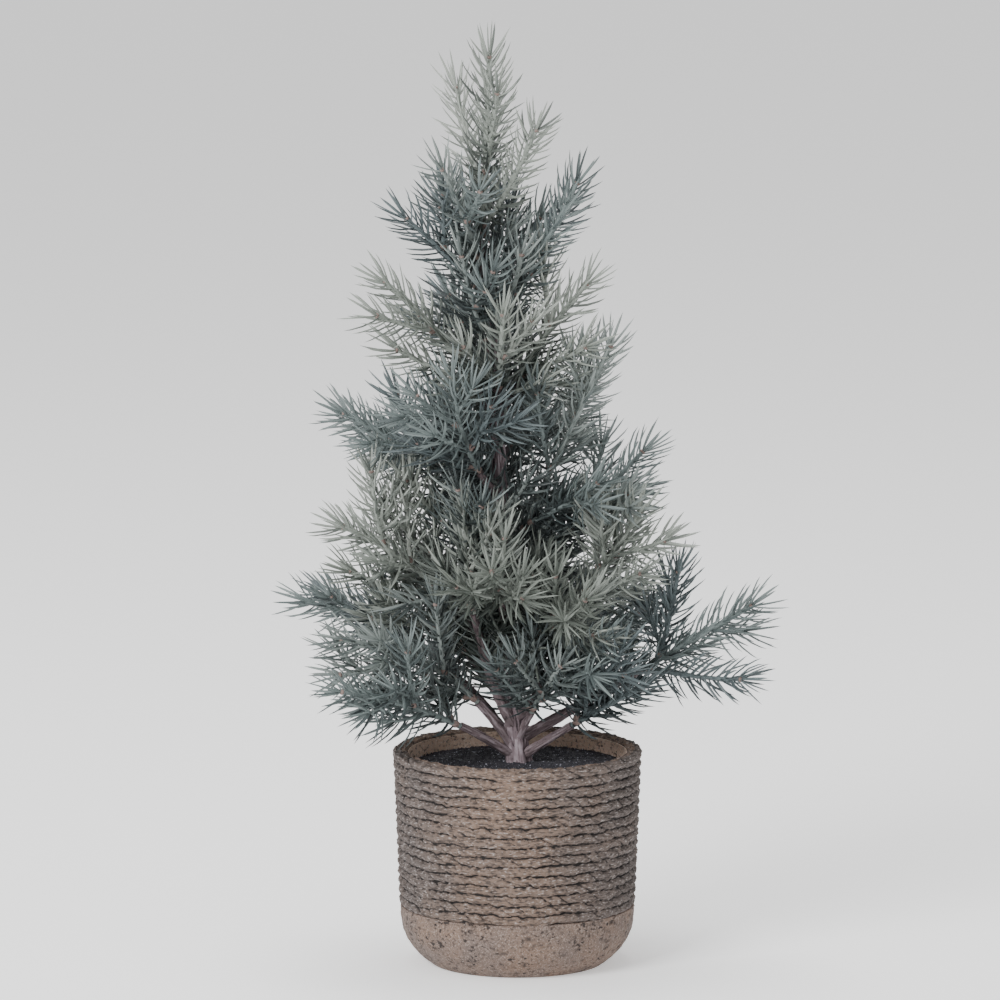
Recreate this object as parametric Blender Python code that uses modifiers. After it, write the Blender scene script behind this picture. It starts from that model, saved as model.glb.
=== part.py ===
"""Tabletop artificial pine, 457 mm tall, planted in a rope-wound cement pot.

Metres, +Z up. The origin is the centre of the pot's flat underside, and -Y is the front.
The trunk stands on the pot's filling. Limbs leave it in loose whorls. Each limb carries
one mass of needles: a main shoot with side shoots, all set with needles, that keeps to
the space nearest to its own stems.
"""

import math
import random
from typing import NamedTuple

import bmesh
import bpy
import numpy as np
from mathutils import Vector

MM = 0.001
GAP = 0.3 * MM
WELD = 0.01 * MM
SEED = 18
COLLECTION = "potted_pine"

# Pot: a rounded cement foot under rows of rope, with a thick rim
POT_HEIGHT = 104 * MM
POT_FOOT_RADIUS = 42 * MM
POT_FOOT_HEIGHT = 28 * MM
POT_FOOT_POWER = 2.8
POT_BAND_RADIUS = 57 * MM
POT_RIM_RADIUS = 60 * MM
POT_FLOOR = 12 * MM
POT_INNER_FLOOR_RADIUS = 50 * MM
POT_INNER_RIM_RADIUS = 53 * MM
ROPE_ROWS = 16
ROPE_DEPTH = 1.4 * MM
POT_STEPS = 26
RIM_ROUND = 2.2 * MM
FOOT_RING_SHARES = (0.82, 0.6, 0.4, 0.22, 0.08, 0)

# Filling: a plug with a slightly mounded top that fills the pot
SOIL_EDGE_Z = 95.5 * MM
SOIL_TOP_Z = 97 * MM
SOIL_SEAT_RADIUS = 12 * MM

# Trunk: leans left as it rises, with a slight sway, ribs at its foot and a root flare
TRUNK_FOOT_Z = SOIL_TOP_Z + GAP
TRUNK_TIP_Z = 352 * MM
TRUNK_FOOT_X = 0.7 * MM
TRUNK_LEAN = -17.3 * MM
TRUNK_SWAY_X = -1.2 * MM
TRUNK_SWAY_Y = -1.5 * MM
TRUNK_FOOT_RADIUS = 4.6 * MM
TRUNK_TIP_RADIUS = 1.6 * MM
TRUNK_TAPER = 0.73
TRUNK_FLARE = 0.9 * MM
TRUNK_FLARE_HEIGHT = 7 * MM
TRUNK_RIBS = 5
TRUNK_RIB_DEPTH = 0.1
TRUNK_RIB_HEIGHT = 20 * MM
TRUNK_RINGS = 22
TRUNK_BEVEL = 3

# Limbs: tapering, thicker where they are longer
LIMB_TIP_RADIUS = 1.7 * MM
LIMB_TAPER = 0.017
LIMB_STEP = 9 * MM
LIMB_BEVEL = 1
PATH_STEP = 2 * MM

# Shoots: slim stems that fork at a set angle, each side shoot shorter than the last
STEM_RADIUS = 1.5 * MM
STEM_TIP_RADIUS = 0.7 * MM
SIDE_STEM_SHARE = 0.85
SIDE_FIRST_AT = 0.05
SIDE_SHORTER_BY = 0.1
SIDE_SHORTEST = 14 * MM
SIDE_RISE = 12
SPREAD = 44
SPREAD_SCATTER = 5
ROLL_SCATTER = 8
SIDE_LENGTH_SCATTER = (0.92, 1.05)
STEEPEST = 88
FORK_LENGTH = 6 * MM

# Needles: spikes on the rings of a stem, leaning towards its tip
NEEDLE_LENGTH = 19 * MM
NEEDLE_SHORTEST = 6 * MM
NEEDLE_HALF_WIDTH = 1.6 * MM
NEEDLE_ANGLE_FOOT = 56
NEEDLE_ANGLE_TIP = 30
NEEDLE_STEP = 1.5 * MM
TIP_NEEDLE_LENGTH = 15 * MM
CAP_LEAN = 0.7
RING_STEP = 8 * MM
RING_TWIST = 14

# Finishes
NEEDLE_ROUGHNESS = 0.75
BARK_ROUGHNESS = 0.85
CEMENT_ROUGHNESS = 0.9
SOIL_ROUGHNESS = 0.95
SAGE = (0.235, 0.255, 0.205, 1)
BLUE = (0.115, 0.16, 0.16, 1)
DARK = (0.045, 0.075, 0.08, 1)
BARK = (0.105, 0.075, 0.07, 1)
CEMENT = (0.2, 0.155, 0.12, 1)
SOIL = (0.015, 0.014, 0.016, 1)


class Limb(NamedTuple):
    """One limb with its mass of needles, in millimetres and degrees.

    height: where it leaves the trunk. azimuth: 0 right, 90 back, 180 left, 270 front.
    rise: slope at the trunk. bend, sweep: change of slope and azimuth by the tip.
    bare: length with no needles. spray: length of the needled main shoot.
    sides, side: number of side shoots and length of the first. until: where on the main
    shoot the last one starts. roll: way of the first about the main shoot, 0 to its
    right, 90 above, -90 below. turn: angle from each one to the next.
    """

    name: str
    height: float
    azimuth: float
    rise: float
    bend: float
    sweep: float
    bare: float
    spray: float
    sides: int
    side: float
    until: float
    roll: float
    turn: float
    colour: tuple
    has_bough: bool = True


LIMBS = (
    # Top: shoots that grow straight out of the trunk
    Limb("leader", 352, 0, 88, 0, 0, 0, 86, 3, 70, 0.35, 332, 190, SAGE, False),
    Limb("crown_left", 322, 190, 50, -10, 0, 8, 48, 2, 32, 0.5, 60, 60, DARK, False),
    Limb("crown_front", 328, 230, 66, -10, 0, 16, 52, 2, 30, 0.4, 0, 180, BLUE, False),
    Limb("crown_right", 318, 345, 44, 22, 0, 9, 66, 2, 38, 0.4, 110, 70, BLUE, False),
    Limb("crown_back", 324, 80, 50, 5, 0, 9, 48, 2, 36, 0.4, 0, 180, DARK, False),
    Limb("shoulder_left", 290, 226, 62, 12, 0, 13, 46, 2, 28, 0.4, 0, 180, BLUE, False),
    Limb("shoulder_right", 298, 310, 60, 12, 0, 12, 40, 2, 28, 0.4, 0, 180, BLUE, False),
    # Upper whorl
    Limb("upper_left", 257, 186, 70, -32, 0, 24, 69, 3, 40, 0.5, -80, 160, SAGE),
    Limb("upper_front", 268, 275, 50, 16, 0, 16, 44, 2, 30, 0.4, 0, 180, SAGE, False),
    Limb("upper_right", 262, 352, 68, -20, 0, 25, 56, 2, 38, 0.5, -70, 160, SAGE),
    Limb("upper_back", 272, 112, 38, -6, 0, 20, 56, 3, 36, 0.5, 0, 180, DARK),
    # Middle whorl
    Limb("mid_left", 234, 183, 22, 4, 0, 14, 68, 3, 42, 0.6, 80, -45, BLUE),
    Limb("mid_front", 226, 236, 32, 50, 0, 24, 54, 3, 32, 0.5, -20, 180, BLUE, False),
    Limb("mid_right", 190, 350, 66, -2, 0, 22, 100, 3, 46, 0.6, -60, 110, BLUE),
    Limb("mid_back", 240, 75, 24, -6, 0, 20, 54, 3, 36, 0.5, 0, 180, DARK),
    Limb("mid_back_left", 212, 132, 34, -12, 0, 30, 60, 3, 38, 0.5, 0, 180, DARK),
    # Lower middle
    Limb("right_high", 172, 12, 51, -6, 0, 46, 54, 2, 42, 0.3, -20, 180, DARK),
    Limb("right_mid", 136, 340, 49, 8, 0, 58, 50, 3, 34, 0.5, -60, 150, SAGE),
    Limb("front_right", 146, 300, 34, -8, 0, 32, 50, 3, 32, 0.4, 60, 180, SAGE, False),
    Limb("front_high", 162, 264, 34, -10, 0, 34, 50, 3, 32, 0.4, -10, 120, SAGE, False),
    Limb("front_left", 172, 226, 52, 20, 0, 24, 46, 2, 30, 0.4, 10, 180, BLUE, False),
    Limb("left_mid", 126, 190, 70, -46, 0, 68, 56, 3, 48, 0.62, 70, 20, SAGE),
    Limb("left_front", 112, 226, 55, 34, 0, 68, 50, 2, 34, 0.4, 0, 180, SAGE),
    Limb("back_mid", 160, 88, 38, -14, 0, 42, 62, 4, 42, 0.6, 0, 180, DARK),
    Limb("back_left", 132, 124, 42, -18, 0, 34, 60, 3, 40, 0.5, 0, 180, BLUE, False),
    # Bottom whorl
    Limb("low_left", 114, 173, 66, -46, 0, 42, 70, 3, 38, 0.5, 70, 180, SAGE),
    Limb("low_front_left", 99, 203, 62, -54, 0, 36, 80, 3, 44, 0.5, -60, 180, BLUE),
    Limb("bottom_left", 99, 212, 34, -22, 0, 38, 70, 2, 42, 0.4, 60, 60, DARK),
    Limb("left_back", 103, 156, 54, -40, 0, 44, 82, 4, 44, 0.6, 0, 180, DARK),
    Limb("bottom_right", 99, 330, 34, -6, 0, 35, 44, 2, 40, 0.1, 90, 60, DARK),
    Limb("far_right", 108, 354, 30, 2, 0, 68, 63, 2, 49, 0.16, -60, 150, BLUE),
    Limb("front_low", 107, 292, 46, -12, 0, 26, 46, 3, 34, 0.4, 20, 180, BLUE, False),
    Limb("right_low", 118, 308, 38, -6, 0, 34, 50, 2, 36, 0.4, 70, 180, BLUE),
    Limb("bottom_back", 100, 100, 44, -30, 0, 40, 62, 3, 42, 0.5, 0, 180, DARK),
    Limb("back_right", 112, 54, 46, -30, 0, 44, 64, 4, 42, 0.6, 0, 180, DARK),
)


class Stem(NamedTuple):
    """One needled stem: its limb's number, its radius at the foot and its points."""

    limb: int
    radius: float
    points: np.ndarray


def clear_scene():
    """Removes every object that the scene starts with."""
    for obj in list(bpy.data.objects):
        bpy.data.objects.remove(obj, do_unlink=True)


def new_collection(name, hidden=False):
    """A collection under the scene's own, left out of renders if it holds cutters."""
    collection = bpy.data.collections.new(name)
    collection.hide_render = hidden
    bpy.context.scene.collection.children.link(collection)
    return collection


def material(name, colour, roughness):
    """A Principled material of one colour."""
    made = bpy.data.materials.new(name)
    made.use_nodes = True
    shader = made.node_tree.nodes["Principled BSDF"]
    shader.inputs["Base Color"].default_value = colour
    shader.inputs["Roughness"].default_value = roughness
    return made


def add_object(name, mesh, collection, finish):
    """An object that shows the mesh in the given material."""
    mesh.name = name
    mesh.materials.clear()
    mesh.materials.append(finish)
    obj = bpy.data.objects.new(name, mesh)
    collection.objects.link(obj)
    return obj


# ---------------------------------------------------------------- pot and filling


def foot_radius(z):
    """Outer radius of the pot's rounded foot at height z."""
    share = 1 - (1 - z / POT_FOOT_HEIGHT) ** POT_FOOT_POWER
    return POT_FOOT_RADIUS + (POT_BAND_RADIUS - POT_FOOT_RADIUS) * share


def wall_radius(z):
    """Outer radius over the rope's crests at height z."""
    share = (z - POT_FOOT_HEIGHT) / (POT_HEIGHT - POT_FOOT_HEIGHT)
    return POT_BAND_RADIUS + (POT_RIM_RADIUS - POT_BAND_RADIUS) * share


def inner_radius(z):
    """Radius of the pot's inside at height z."""
    share = (z - POT_FLOOR) / (POT_HEIGHT - POT_FLOOR)
    return POT_INNER_FLOOR_RADIUS + (POT_INNER_RIM_RADIUS - POT_INNER_FLOOR_RADIUS) * share


def pot_profile():
    """Half section of the pot, from the middle of its floor over the rim to its underside."""
    pitch = (POT_HEIGHT - POT_FOOT_HEIGHT) / ROPE_ROWS
    rim_z = POT_HEIGHT - pitch / 2
    profile = [(0, POT_FLOOR), (inner_radius(POT_FLOOR), POT_FLOOR)]
    profile.append((inner_radius(rim_z), rim_z))
    profile.append((inner_radius(POT_HEIGHT) + RIM_ROUND, POT_HEIGHT))
    profile.append((POT_RIM_RADIUS - RIM_ROUND, POT_HEIGHT))
    for row in range(ROPE_ROWS):
        crest = rim_z - row * pitch
        groove = crest - pitch / 2
        profile.append((wall_radius(crest), crest))
        profile.append((wall_radius(groove) - ROPE_DEPTH, groove))
    for share in FOOT_RING_SHARES:
        z = share * POT_FOOT_HEIGHT
        profile.append((foot_radius(z), z))
    profile.append((0, 0))
    return profile


def soil_profile():
    """Half section of the filling, from its mounded top down its side to its base."""
    base = POT_FLOOR + GAP
    return [
        (0, SOIL_TOP_Z),
        (SOIL_SEAT_RADIUS, SOIL_TOP_Z),
        (inner_radius(SOIL_EDGE_Z) - GAP, SOIL_EDGE_Z),
        (inner_radius(base) - GAP, base),
        (0, base),
    ]


def turned(name, profile, collection, finish):
    """A solid of revolution about Z, from (radius, z) points."""
    mesh = bpy.data.meshes.new(name)
    shape = bmesh.new()
    points = [shape.verts.new((radius, 0, z)) for radius, z in profile]
    for start, end in zip(points, points[1:]):
        shape.edges.new((start, end))
    shape.to_mesh(mesh)
    shape.free()
    obj = add_object(name, mesh, collection, finish)
    screw = obj.modifiers.new("turn", "SCREW")
    screw.steps = POT_STEPS
    screw.render_steps = POT_STEPS
    screw.use_merge_vertices = True
    screw.merge_threshold = WELD
    screw.use_smooth_shade = True
    return obj


# ---------------------------------------------------------------- trunk and limbs


def trunk_share(z):
    """How far up the trunk the height z is, 0 at its foot and 1 at its tip."""
    return (z - TRUNK_FOOT_Z) / (TRUNK_TIP_Z - TRUNK_FOOT_Z)


def trunk_centre(z):
    """Middle of the trunk at height z."""
    share = trunk_share(z)
    x = TRUNK_FOOT_X + TRUNK_LEAN * share + TRUNK_SWAY_X * math.sin(math.tau * share)
    return Vector((x, TRUNK_SWAY_Y * math.sin(math.pi * share), z))


def trunk_radius(z):
    """Radius of the trunk at height z, with its root flare."""
    narrowing = max(0, 1 - trunk_share(z)) ** TRUNK_TAPER
    flare = TRUNK_FLARE * math.exp((TRUNK_FOOT_Z - z) / TRUNK_FLARE_HEIGHT)
    return TRUNK_TIP_RADIUS + (TRUNK_FOOT_RADIUS - TRUNK_TIP_RADIUS) * narrowing + flare


def heading(azimuth, slope):
    """Unit vector that points along an azimuth and up a slope, in degrees."""
    across = math.cos(math.radians(slope))
    turn = math.radians(azimuth)
    return Vector((across * math.cos(turn), across * math.sin(turn), math.sin(math.radians(slope))))


def bent_path(start, azimuth, sweep, slope, bend, length):
    """Points from start, about PATH_STEP apart, whose slope and azimuth change evenly."""
    steps = max(2, round(length / PATH_STEP))
    points = [start]
    for step in range(steps):
        share = (step + 0.5) / steps
        way = heading(azimuth + sweep * share, slope + bend * share)
        points.append(points[-1] + way * (length / steps))
    return np.array([tuple(point) for point in points])


def stretch(path, start, end, step):
    """Even points of the path between two lengths along it, as near to a step apart as fits."""
    gaps = np.linalg.norm(np.diff(path, axis=0), axis=1)
    lengths = np.concatenate([[0], np.cumsum(gaps)])
    end = min(end, lengths[-1])
    places = np.linspace(start, end, max(2, round((end - start) / step) + 1))
    return np.stack([np.interp(places, lengths, path[:, axis]) for axis in range(3)], axis=1)


def main_path(limb):
    """Points of a limb and its main shoot, from the middle of the trunk to the tip."""
    start = trunk_centre(limb.height * MM)
    length = (limb.bare + limb.spray) * MM
    return bent_path(start, limb.azimuth, limb.sweep, limb.rise, limb.bend, length)


def side_path(limb, index, shoot, chance):
    """Points of one side shoot, which starts in the middle of the main shoot."""
    share = SIDE_FIRST_AT + (limb.until - SIDE_FIRST_AT) * index / max(1, limb.sides - 1)
    at = round(share * (len(shoot) - 1))
    along = Vector(shoot[at + 1] - shoot[at]).normalized()
    level = along.cross(Vector((0, 0, 1))).normalized()
    above = level.cross(along)
    roll = limb.roll + index * limb.turn + chance.uniform(-ROLL_SCATTER, ROLL_SCATTER)
    roll = math.radians(roll)
    spread = math.radians(SPREAD + chance.uniform(-SPREAD_SCATTER, SPREAD_SCATTER))
    outward = level * math.cos(roll) + above * math.sin(roll)
    way = along * math.cos(spread) + outward * math.sin(spread)
    azimuth = math.degrees(math.atan2(way.y, way.x))
    slope = math.degrees(math.asin(way.z))
    bend = min(SIDE_RISE, STEEPEST - slope)
    length = limb.side * MM * (1 - SIDE_SHORTER_BY * index) * chance.uniform(*SIDE_LENGTH_SCATTER)
    return bent_path(Vector(shoot[at]), azimuth, 0, slope, bend, length)


def limb_radii(limb, count):
    """Radii of a limb's bare stretch, from the trunk to its mass."""
    tip = LIMB_TIP_RADIUS if limb.has_bough else STEM_RADIUS
    return np.linspace(tip + LIMB_TAPER * limb.bare * MM, tip, count)


class Crown:
    """The skeleton: points and radii of trunk and limbs, and the needled stems."""

    def __init__(self):
        heights = np.arange(TRUNK_FOOT_Z, TRUNK_TIP_Z, PATH_STEP)
        self.wood = [np.array([tuple(trunk_centre(z)) for z in heights])]
        self.wood_radii = [np.array([trunk_radius(z) for z in heights])]
        self.bare = []
        self.stems = []
        for number, limb in enumerate(LIMBS):
            path = main_path(limb)
            bare = stretch(path, 0, limb.bare * MM, PATH_STEP) if limb.bare else path[:1]
            self.bare.append(bare)
            self.wood.append(bare)
            self.wood_radii.append(limb_radii(limb, len(bare)))
            start = limb.bare * MM + GAP
            shoot = stretch(path, start, (limb.bare + limb.spray) * MM, PATH_STEP)
            self.stems.append(Stem(number, STEM_RADIUS, shoot))
        self.add_side_shoots()
        self.stem_points = np.concatenate([stem.points for stem in self.stems])
        self.owner = np.repeat(np.arange(len(self.stems)), [len(s.points) for s in self.stems])
        self.wood_points = np.concatenate(self.wood)
        self.wood_radius = np.concatenate(self.wood_radii)

    def add_side_shoots(self):
        """Grows every limb's side shoots, cut short or skipped where they would touch."""
        chance = random.Random(SEED)
        for number, limb in enumerate(LIMBS):
            shoot = self.stems[number].points
            for index in range(limb.sides):
                path = side_path(limb, index, shoot, chance)
                free = self.free_points(path)
                if free * PATH_STEP >= SIDE_SHORTEST:
                    radius = STEM_RADIUS * SIDE_STEM_SHARE
                    self.stems.append(Stem(number, radius, path[:free]))

    def free_points(self, path):
        """How many points of a side shoot stay clear of all other stems and wood."""
        fork = round(FORK_LENGTH / PATH_STEP)
        points = np.concatenate([stem.points for stem in self.stems] + self.wood)
        radii = [np.full(len(stem.points), stem.radius) for stem in self.stems]
        radii = np.concatenate(radii + self.wood_radii)
        for place in range(fork, len(path)):
            room = np.linalg.norm(points - path[place], axis=1) - radii
            if room.min() < STEM_RADIUS + 2 * GAP:
                return place
        return len(path)

    def needle_room(self, stem, foot, way):
        """How long a needle may grow before it leaves its stem's own space or meets wood."""
        reach = np.arange(NEEDLE_STEP, NEEDLE_LENGTH + NEEDLE_STEP / 2, NEEDLE_STEP)
        half = NEEDLE_HALF_WIDTH * (1 - reach / (NEEDLE_LENGTH + NEEDLE_STEP))
        samples = foot + way * reach[:, None]
        to_stems = np.linalg.norm(samples[:, None] - self.stem_points, axis=2)
        own = to_stems[:, self.owner == stem].min(axis=1)
        other = to_stems[:, self.owner != stem].min(axis=1)
        to_wood = np.linalg.norm(samples[:, None] - self.wood_points, axis=2) - self.wood_radius
        free = (other - own > 2 * half + GAP) & (to_wood.min(axis=1) > half + GAP)
        free &= clear_of_pot(samples, half + GAP)
        return NEEDLE_LENGTH if free.all() else NEEDLE_STEP * int(np.argmin(free))


def clear_of_pot(points, margin):
    """Which points stay a margin above or outside the pot's rim, and above the filling."""
    radius = np.hypot(points[:, 0], points[:, 1])
    above = points[:, 2] > POT_HEIGHT + margin
    outside = radius > POT_RIM_RADIUS + margin
    inside = (radius < POT_INNER_FLOOR_RADIUS - margin) & (points[:, 2] > SOIL_TOP_Z + margin)
    return above | outside | inside


# ---------------------------------------------------------------- solids


def mesh_of(obj):
    """The object's evaluated mesh."""
    graph = bpy.context.evaluated_depsgraph_get()
    return bpy.data.meshes.new_from_object(obj.evaluated_get(graph))


def weld_caps(mesh):
    """Welds the loose caps of a mesh that was a curve."""
    shape = bmesh.new()
    shape.from_mesh(mesh)
    bmesh.ops.remove_doubles(shape, verts=shape.verts, dist=WELD)
    shape.to_mesh(mesh)
    shape.free()


def keep_largest_body(mesh):
    """Drops loose scraps and the walls of sealed hollows from a joined mesh."""
    shape = bmesh.new()
    shape.from_mesh(mesh)
    left = set(shape.verts)
    bodies = []
    while left:
        body = {left.pop()}
        edge_of_body = list(body)
        while edge_of_body:
            near = {edge.other_vert(vert) for vert in edge_of_body for edge in vert.link_edges}
            edge_of_body = list(near & left)
            left -= near
            body |= near
        bodies.append(body)
    largest = max(bodies, key=len)
    loose = [vert for vert in shape.verts if vert not in largest]
    bmesh.ops.delete(shape, geom=loose, context="VERTS")
    shape.to_mesh(mesh)
    shape.free()


def tube_mesh(name, points, radii, bevel, twist=0):
    """A closed tube along the points, made from a curve with a bevel and filled caps."""
    curve = bpy.data.curves.new(name, "CURVE")
    curve.dimensions = "3D"
    curve.bevel_depth = 1
    curve.bevel_resolution = bevel
    curve.use_fill_caps = True
    line = curve.splines.new("POLY")
    line.points.add(len(points) - 1)
    for index, (knot, point, radius) in enumerate(zip(line.points, points, radii)):
        knot.co = (*point, 1)
        knot.radius = radius
        knot.tilt = math.radians(index * twist)
    guide = bpy.data.objects.new(name, curve)
    bpy.context.scene.collection.objects.link(guide)
    bpy.context.view_layer.update()
    mesh = mesh_of(guide)
    weld_caps(mesh)
    bpy.data.objects.remove(guide)
    bpy.data.curves.remove(curve)
    return mesh


def trunk_mesh(name, grow=0):
    """The trunk, or a copy grown by a margin to cut other pieces clear of it."""
    top = TRUNK_TIP_Z + grow
    heights = np.linspace(TRUNK_FOOT_Z - grow, top, TRUNK_RINGS)
    points = [tuple(trunk_centre(z)) for z in heights]
    radii = [trunk_radius(min(z, TRUNK_TIP_Z)) + grow for z in heights]
    mesh = tube_mesh(name, points, radii, TRUNK_BEVEL)
    shape = bmesh.new()
    shape.from_mesh(mesh)
    for vert in shape.verts:
        centre = trunk_centre(vert.co.z)
        out = vert.co - centre
        fade = math.exp((TRUNK_FOOT_Z - vert.co.z) / TRUNK_RIB_HEIGHT)
        rib = math.cos(TRUNK_RIBS * math.atan2(out.y, out.x))
        vert.co += Vector((out.x, out.y, 0)) * TRUNK_RIB_DEPTH * rib * fade
        if vert.co.z < (heights[0] + heights[1]) / 2:
            vert.co.z = heights[0]
    shape.to_mesh(mesh)
    shape.free()
    return mesh


def fit_to_trunk(obj, cutter):
    """Cuts the foot of a limb to the trunk's surface, a gap clear of it."""
    cut = obj.modifiers.new("fit_to_trunk", "BOOLEAN")
    cut.operation = "DIFFERENCE"
    cut.object = cutter
    apply_modifiers(obj)


def apply_modifiers(obj):
    """Replaces the object's mesh with what its modifiers make of it."""
    mesh = mesh_of(obj)
    keep_largest_body(mesh)
    obj.modifiers.clear()
    old = obj.data
    obj.data = mesh
    name = old.name
    bpy.data.meshes.remove(old)
    mesh.name = name


def grow_needles(mesh, crown, stem_index):
    """Pokes the side faces of a stem's mesh out into needles that lean to its tip."""
    stem = crown.stems[stem_index]
    middles = (stem.points[1:] + stem.points[:-1]) / 2
    ways = np.diff(stem.points, axis=0)
    ways /= np.linalg.norm(ways, axis=1)[:, None]
    shape = bmesh.new()
    shape.from_mesh(mesh)
    shape.normal_update()
    for face in list(shape.faces):
        foot = np.array(face.calc_center_median())
        near = int(np.argmin(np.linalg.norm(middles - foot, axis=1)))
        along = ways[near]
        lean = float(np.dot(np.array(face.normal), along))
        if lean < -CAP_LEAN:
            continue
        if lean > CAP_LEAN:
            way, most = along, TIP_NEEDLE_LENGTH
        else:
            share = near / (len(middles) - 1)
            angle = NEEDLE_ANGLE_FOOT + (NEEDLE_ANGLE_TIP - NEEDLE_ANGLE_FOOT) * share
            out = foot - middles[near]
            out -= along * np.dot(out, along)
            out /= np.linalg.norm(out)
            way = along * math.cos(math.radians(angle)) + out * math.sin(math.radians(angle))
            most = NEEDLE_LENGTH
        length = min(most, crown.needle_room(stem_index, foot, way))
        if length < NEEDLE_SHORTEST:
            continue
        tip = bmesh.ops.poke(shape, faces=[face])["verts"][0]
        tip.co = Vector(foot + way * length)
    shape.to_mesh(mesh)
    shape.free()


def stem_mesh(name, crown, stem_index):
    """One stem with its needles."""
    stem = crown.stems[stem_index]
    points = stretch(stem.points, 0, math.inf, RING_STEP)
    radii = np.linspace(stem.radius, STEM_TIP_RADIUS, len(points))
    mesh = tube_mesh(name, points, radii, 0, RING_TWIST)
    grow_needles(mesh, crown, stem_index)
    return mesh


def build_mass(number, crown, parts, helpers, cutter):
    """The mass of one limb: its stems with their needles, joined by one union."""
    limb = LIMBS[number]
    own = [index for index, stem in enumerate(crown.stems) if stem.limb == number]
    finish = material(f"{limb.name}_needles", limb.colour, NEEDLE_ROUGHNESS)
    mass = add_object(f"{limb.name}_mass", stem_mesh(limb.name, crown, own[0]), parts, finish)
    for index in own[1:]:
        add_object(f"helper_{index}", stem_mesh(f"helper_{index}", crown, index), helpers, finish)
    if limb.bare and not limb.has_bough:
        foot = np.concatenate([crown.bare[number], crown.stems[number].points[:2]])
        foot = stretch(foot, 0, math.inf, LIMB_STEP)
        twig = add_object("helper_foot", tube_mesh("foot", foot, limb_radii(limb, len(foot)), 1),
                          helpers, finish)
        fit_to_trunk(twig, cutter)
    if len(helpers.objects):
        join = mass.modifiers.new("join", "BOOLEAN")
        join.operation = "UNION"
        join.solver = "MANIFOLD"
        join.operand_type = "COLLECTION"
        join.collection = helpers
        apply_modifiers(mass)
        for helper in list(helpers.objects):
            bpy.data.objects.remove(helper)


def build_bough(number, crown, parts, cutter):
    """One bare limb, from the trunk to its mass."""
    limb = LIMBS[number]
    points = stretch(crown.bare[number], 0, math.inf, LIMB_STEP)
    mesh = tube_mesh(limb.name, points, limb_radii(limb, len(points)), LIMB_BEVEL)
    finish = material(f"{limb.name}_bark", BARK, BARK_ROUGHNESS)
    fit_to_trunk(add_object(f"{limb.name}_bough", mesh, parts, finish), cutter)


def main():
    """Builds the pot, its filling, the trunk, the boughs and the masses of needles."""
    clear_scene()
    parts = new_collection(COLLECTION)
    helpers = new_collection("helpers", hidden=True)
    cutters = new_collection("cutters", hidden=True)
    turned("pot", pot_profile(), parts, material("pot_cement", CEMENT, CEMENT_ROUGHNESS))
    turned("soil", soil_profile(), parts, material("soil_grit", SOIL, SOIL_ROUGHNESS))
    trunk_finish = material("trunk_bark", BARK, BARK_ROUGHNESS)
    add_object("trunk", trunk_mesh("trunk"), parts, trunk_finish)
    cutter = add_object("trunk_clearance", trunk_mesh("clearance", GAP), cutters, trunk_finish)
    cutter.hide_render = True
    cutter.display_type = "WIRE"
    crown = Crown()
    for number, limb in enumerate(LIMBS):
        if limb.has_bough:
            build_bough(number, crown, parts, cutter)
        build_mass(number, crown, parts, helpers, cutter)


if __name__ == "__main__":
    main()
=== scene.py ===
"""Looks of a tabletop artificial pine, 457 mm tall, in a rope-wound cement pot.

Metres, +Z up. The origin is the centre of the pot's flat underside, and -Y is the front. The
limbs grow by the rule of the part's source: a table of limbs, each with a main shoot and side
shoots. Here finer twigs follow, and every stem is set with curved, flat needles.
"""

import logging
import math
import random
from collections.abc import Callable, Iterable, Sequence
from dataclasses import dataclass, field
from enum import Enum
from typing import Any, NamedTuple

import bmesh
import bpy
import numpy as np
from mathutils import Matrix, Vector, noise


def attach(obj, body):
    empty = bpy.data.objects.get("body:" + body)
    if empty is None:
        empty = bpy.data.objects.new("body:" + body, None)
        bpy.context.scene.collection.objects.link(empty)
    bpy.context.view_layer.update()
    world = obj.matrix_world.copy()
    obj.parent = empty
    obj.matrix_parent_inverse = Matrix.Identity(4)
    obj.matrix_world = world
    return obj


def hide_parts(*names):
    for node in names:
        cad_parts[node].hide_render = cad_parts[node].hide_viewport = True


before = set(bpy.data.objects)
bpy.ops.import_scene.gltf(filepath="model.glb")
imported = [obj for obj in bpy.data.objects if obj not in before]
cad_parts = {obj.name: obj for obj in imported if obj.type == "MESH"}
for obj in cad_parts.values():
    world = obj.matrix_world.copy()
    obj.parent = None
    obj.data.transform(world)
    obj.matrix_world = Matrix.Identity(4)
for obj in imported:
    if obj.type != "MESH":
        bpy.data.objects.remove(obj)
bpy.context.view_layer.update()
LOG = logging.getLogger("potted_pine")

MM = 0.001
GAP = 0.3 * MM
SHARP_ANGLE = math.radians(38)
BODY = "root"

# Heights that the pieces share
POT_HEIGHT = 104 * MM
POT_FOOT_HEIGHT = 28 * MM
POT_RIM_RADIUS = 60 * MM
POT_BAND_RADIUS = 57 * MM
POT_INNER_RADIUS = 53 * MM
SOIL_EDGE_Z = 95.5 * MM
SOIL_TOP_Z = 97 * MM

# The skeleton's rule, as in the part's source
SEED = 18
PATH_STEP = 2 * MM
LIMB_TIP_RADIUS = 1.7 * MM
LIMB_TAPER = 0.017
STEM_RADIUS = 1.5 * MM
SIDE_STEM_SHARE = 0.85
SIDE_FIRST_AT = 0.05
SIDE_SHORTER_BY = 0.1
SIDE_SHORTEST = 14 * MM
SIDE_RISE = 12
SPREAD = 44
SPREAD_SCATTER = 5
ROLL_SCATTER = 8
SIDE_LENGTH_SCATTER = (0.92, 1.05)
STEEPEST = 88
FORK_LENGTH = 6 * MM

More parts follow.
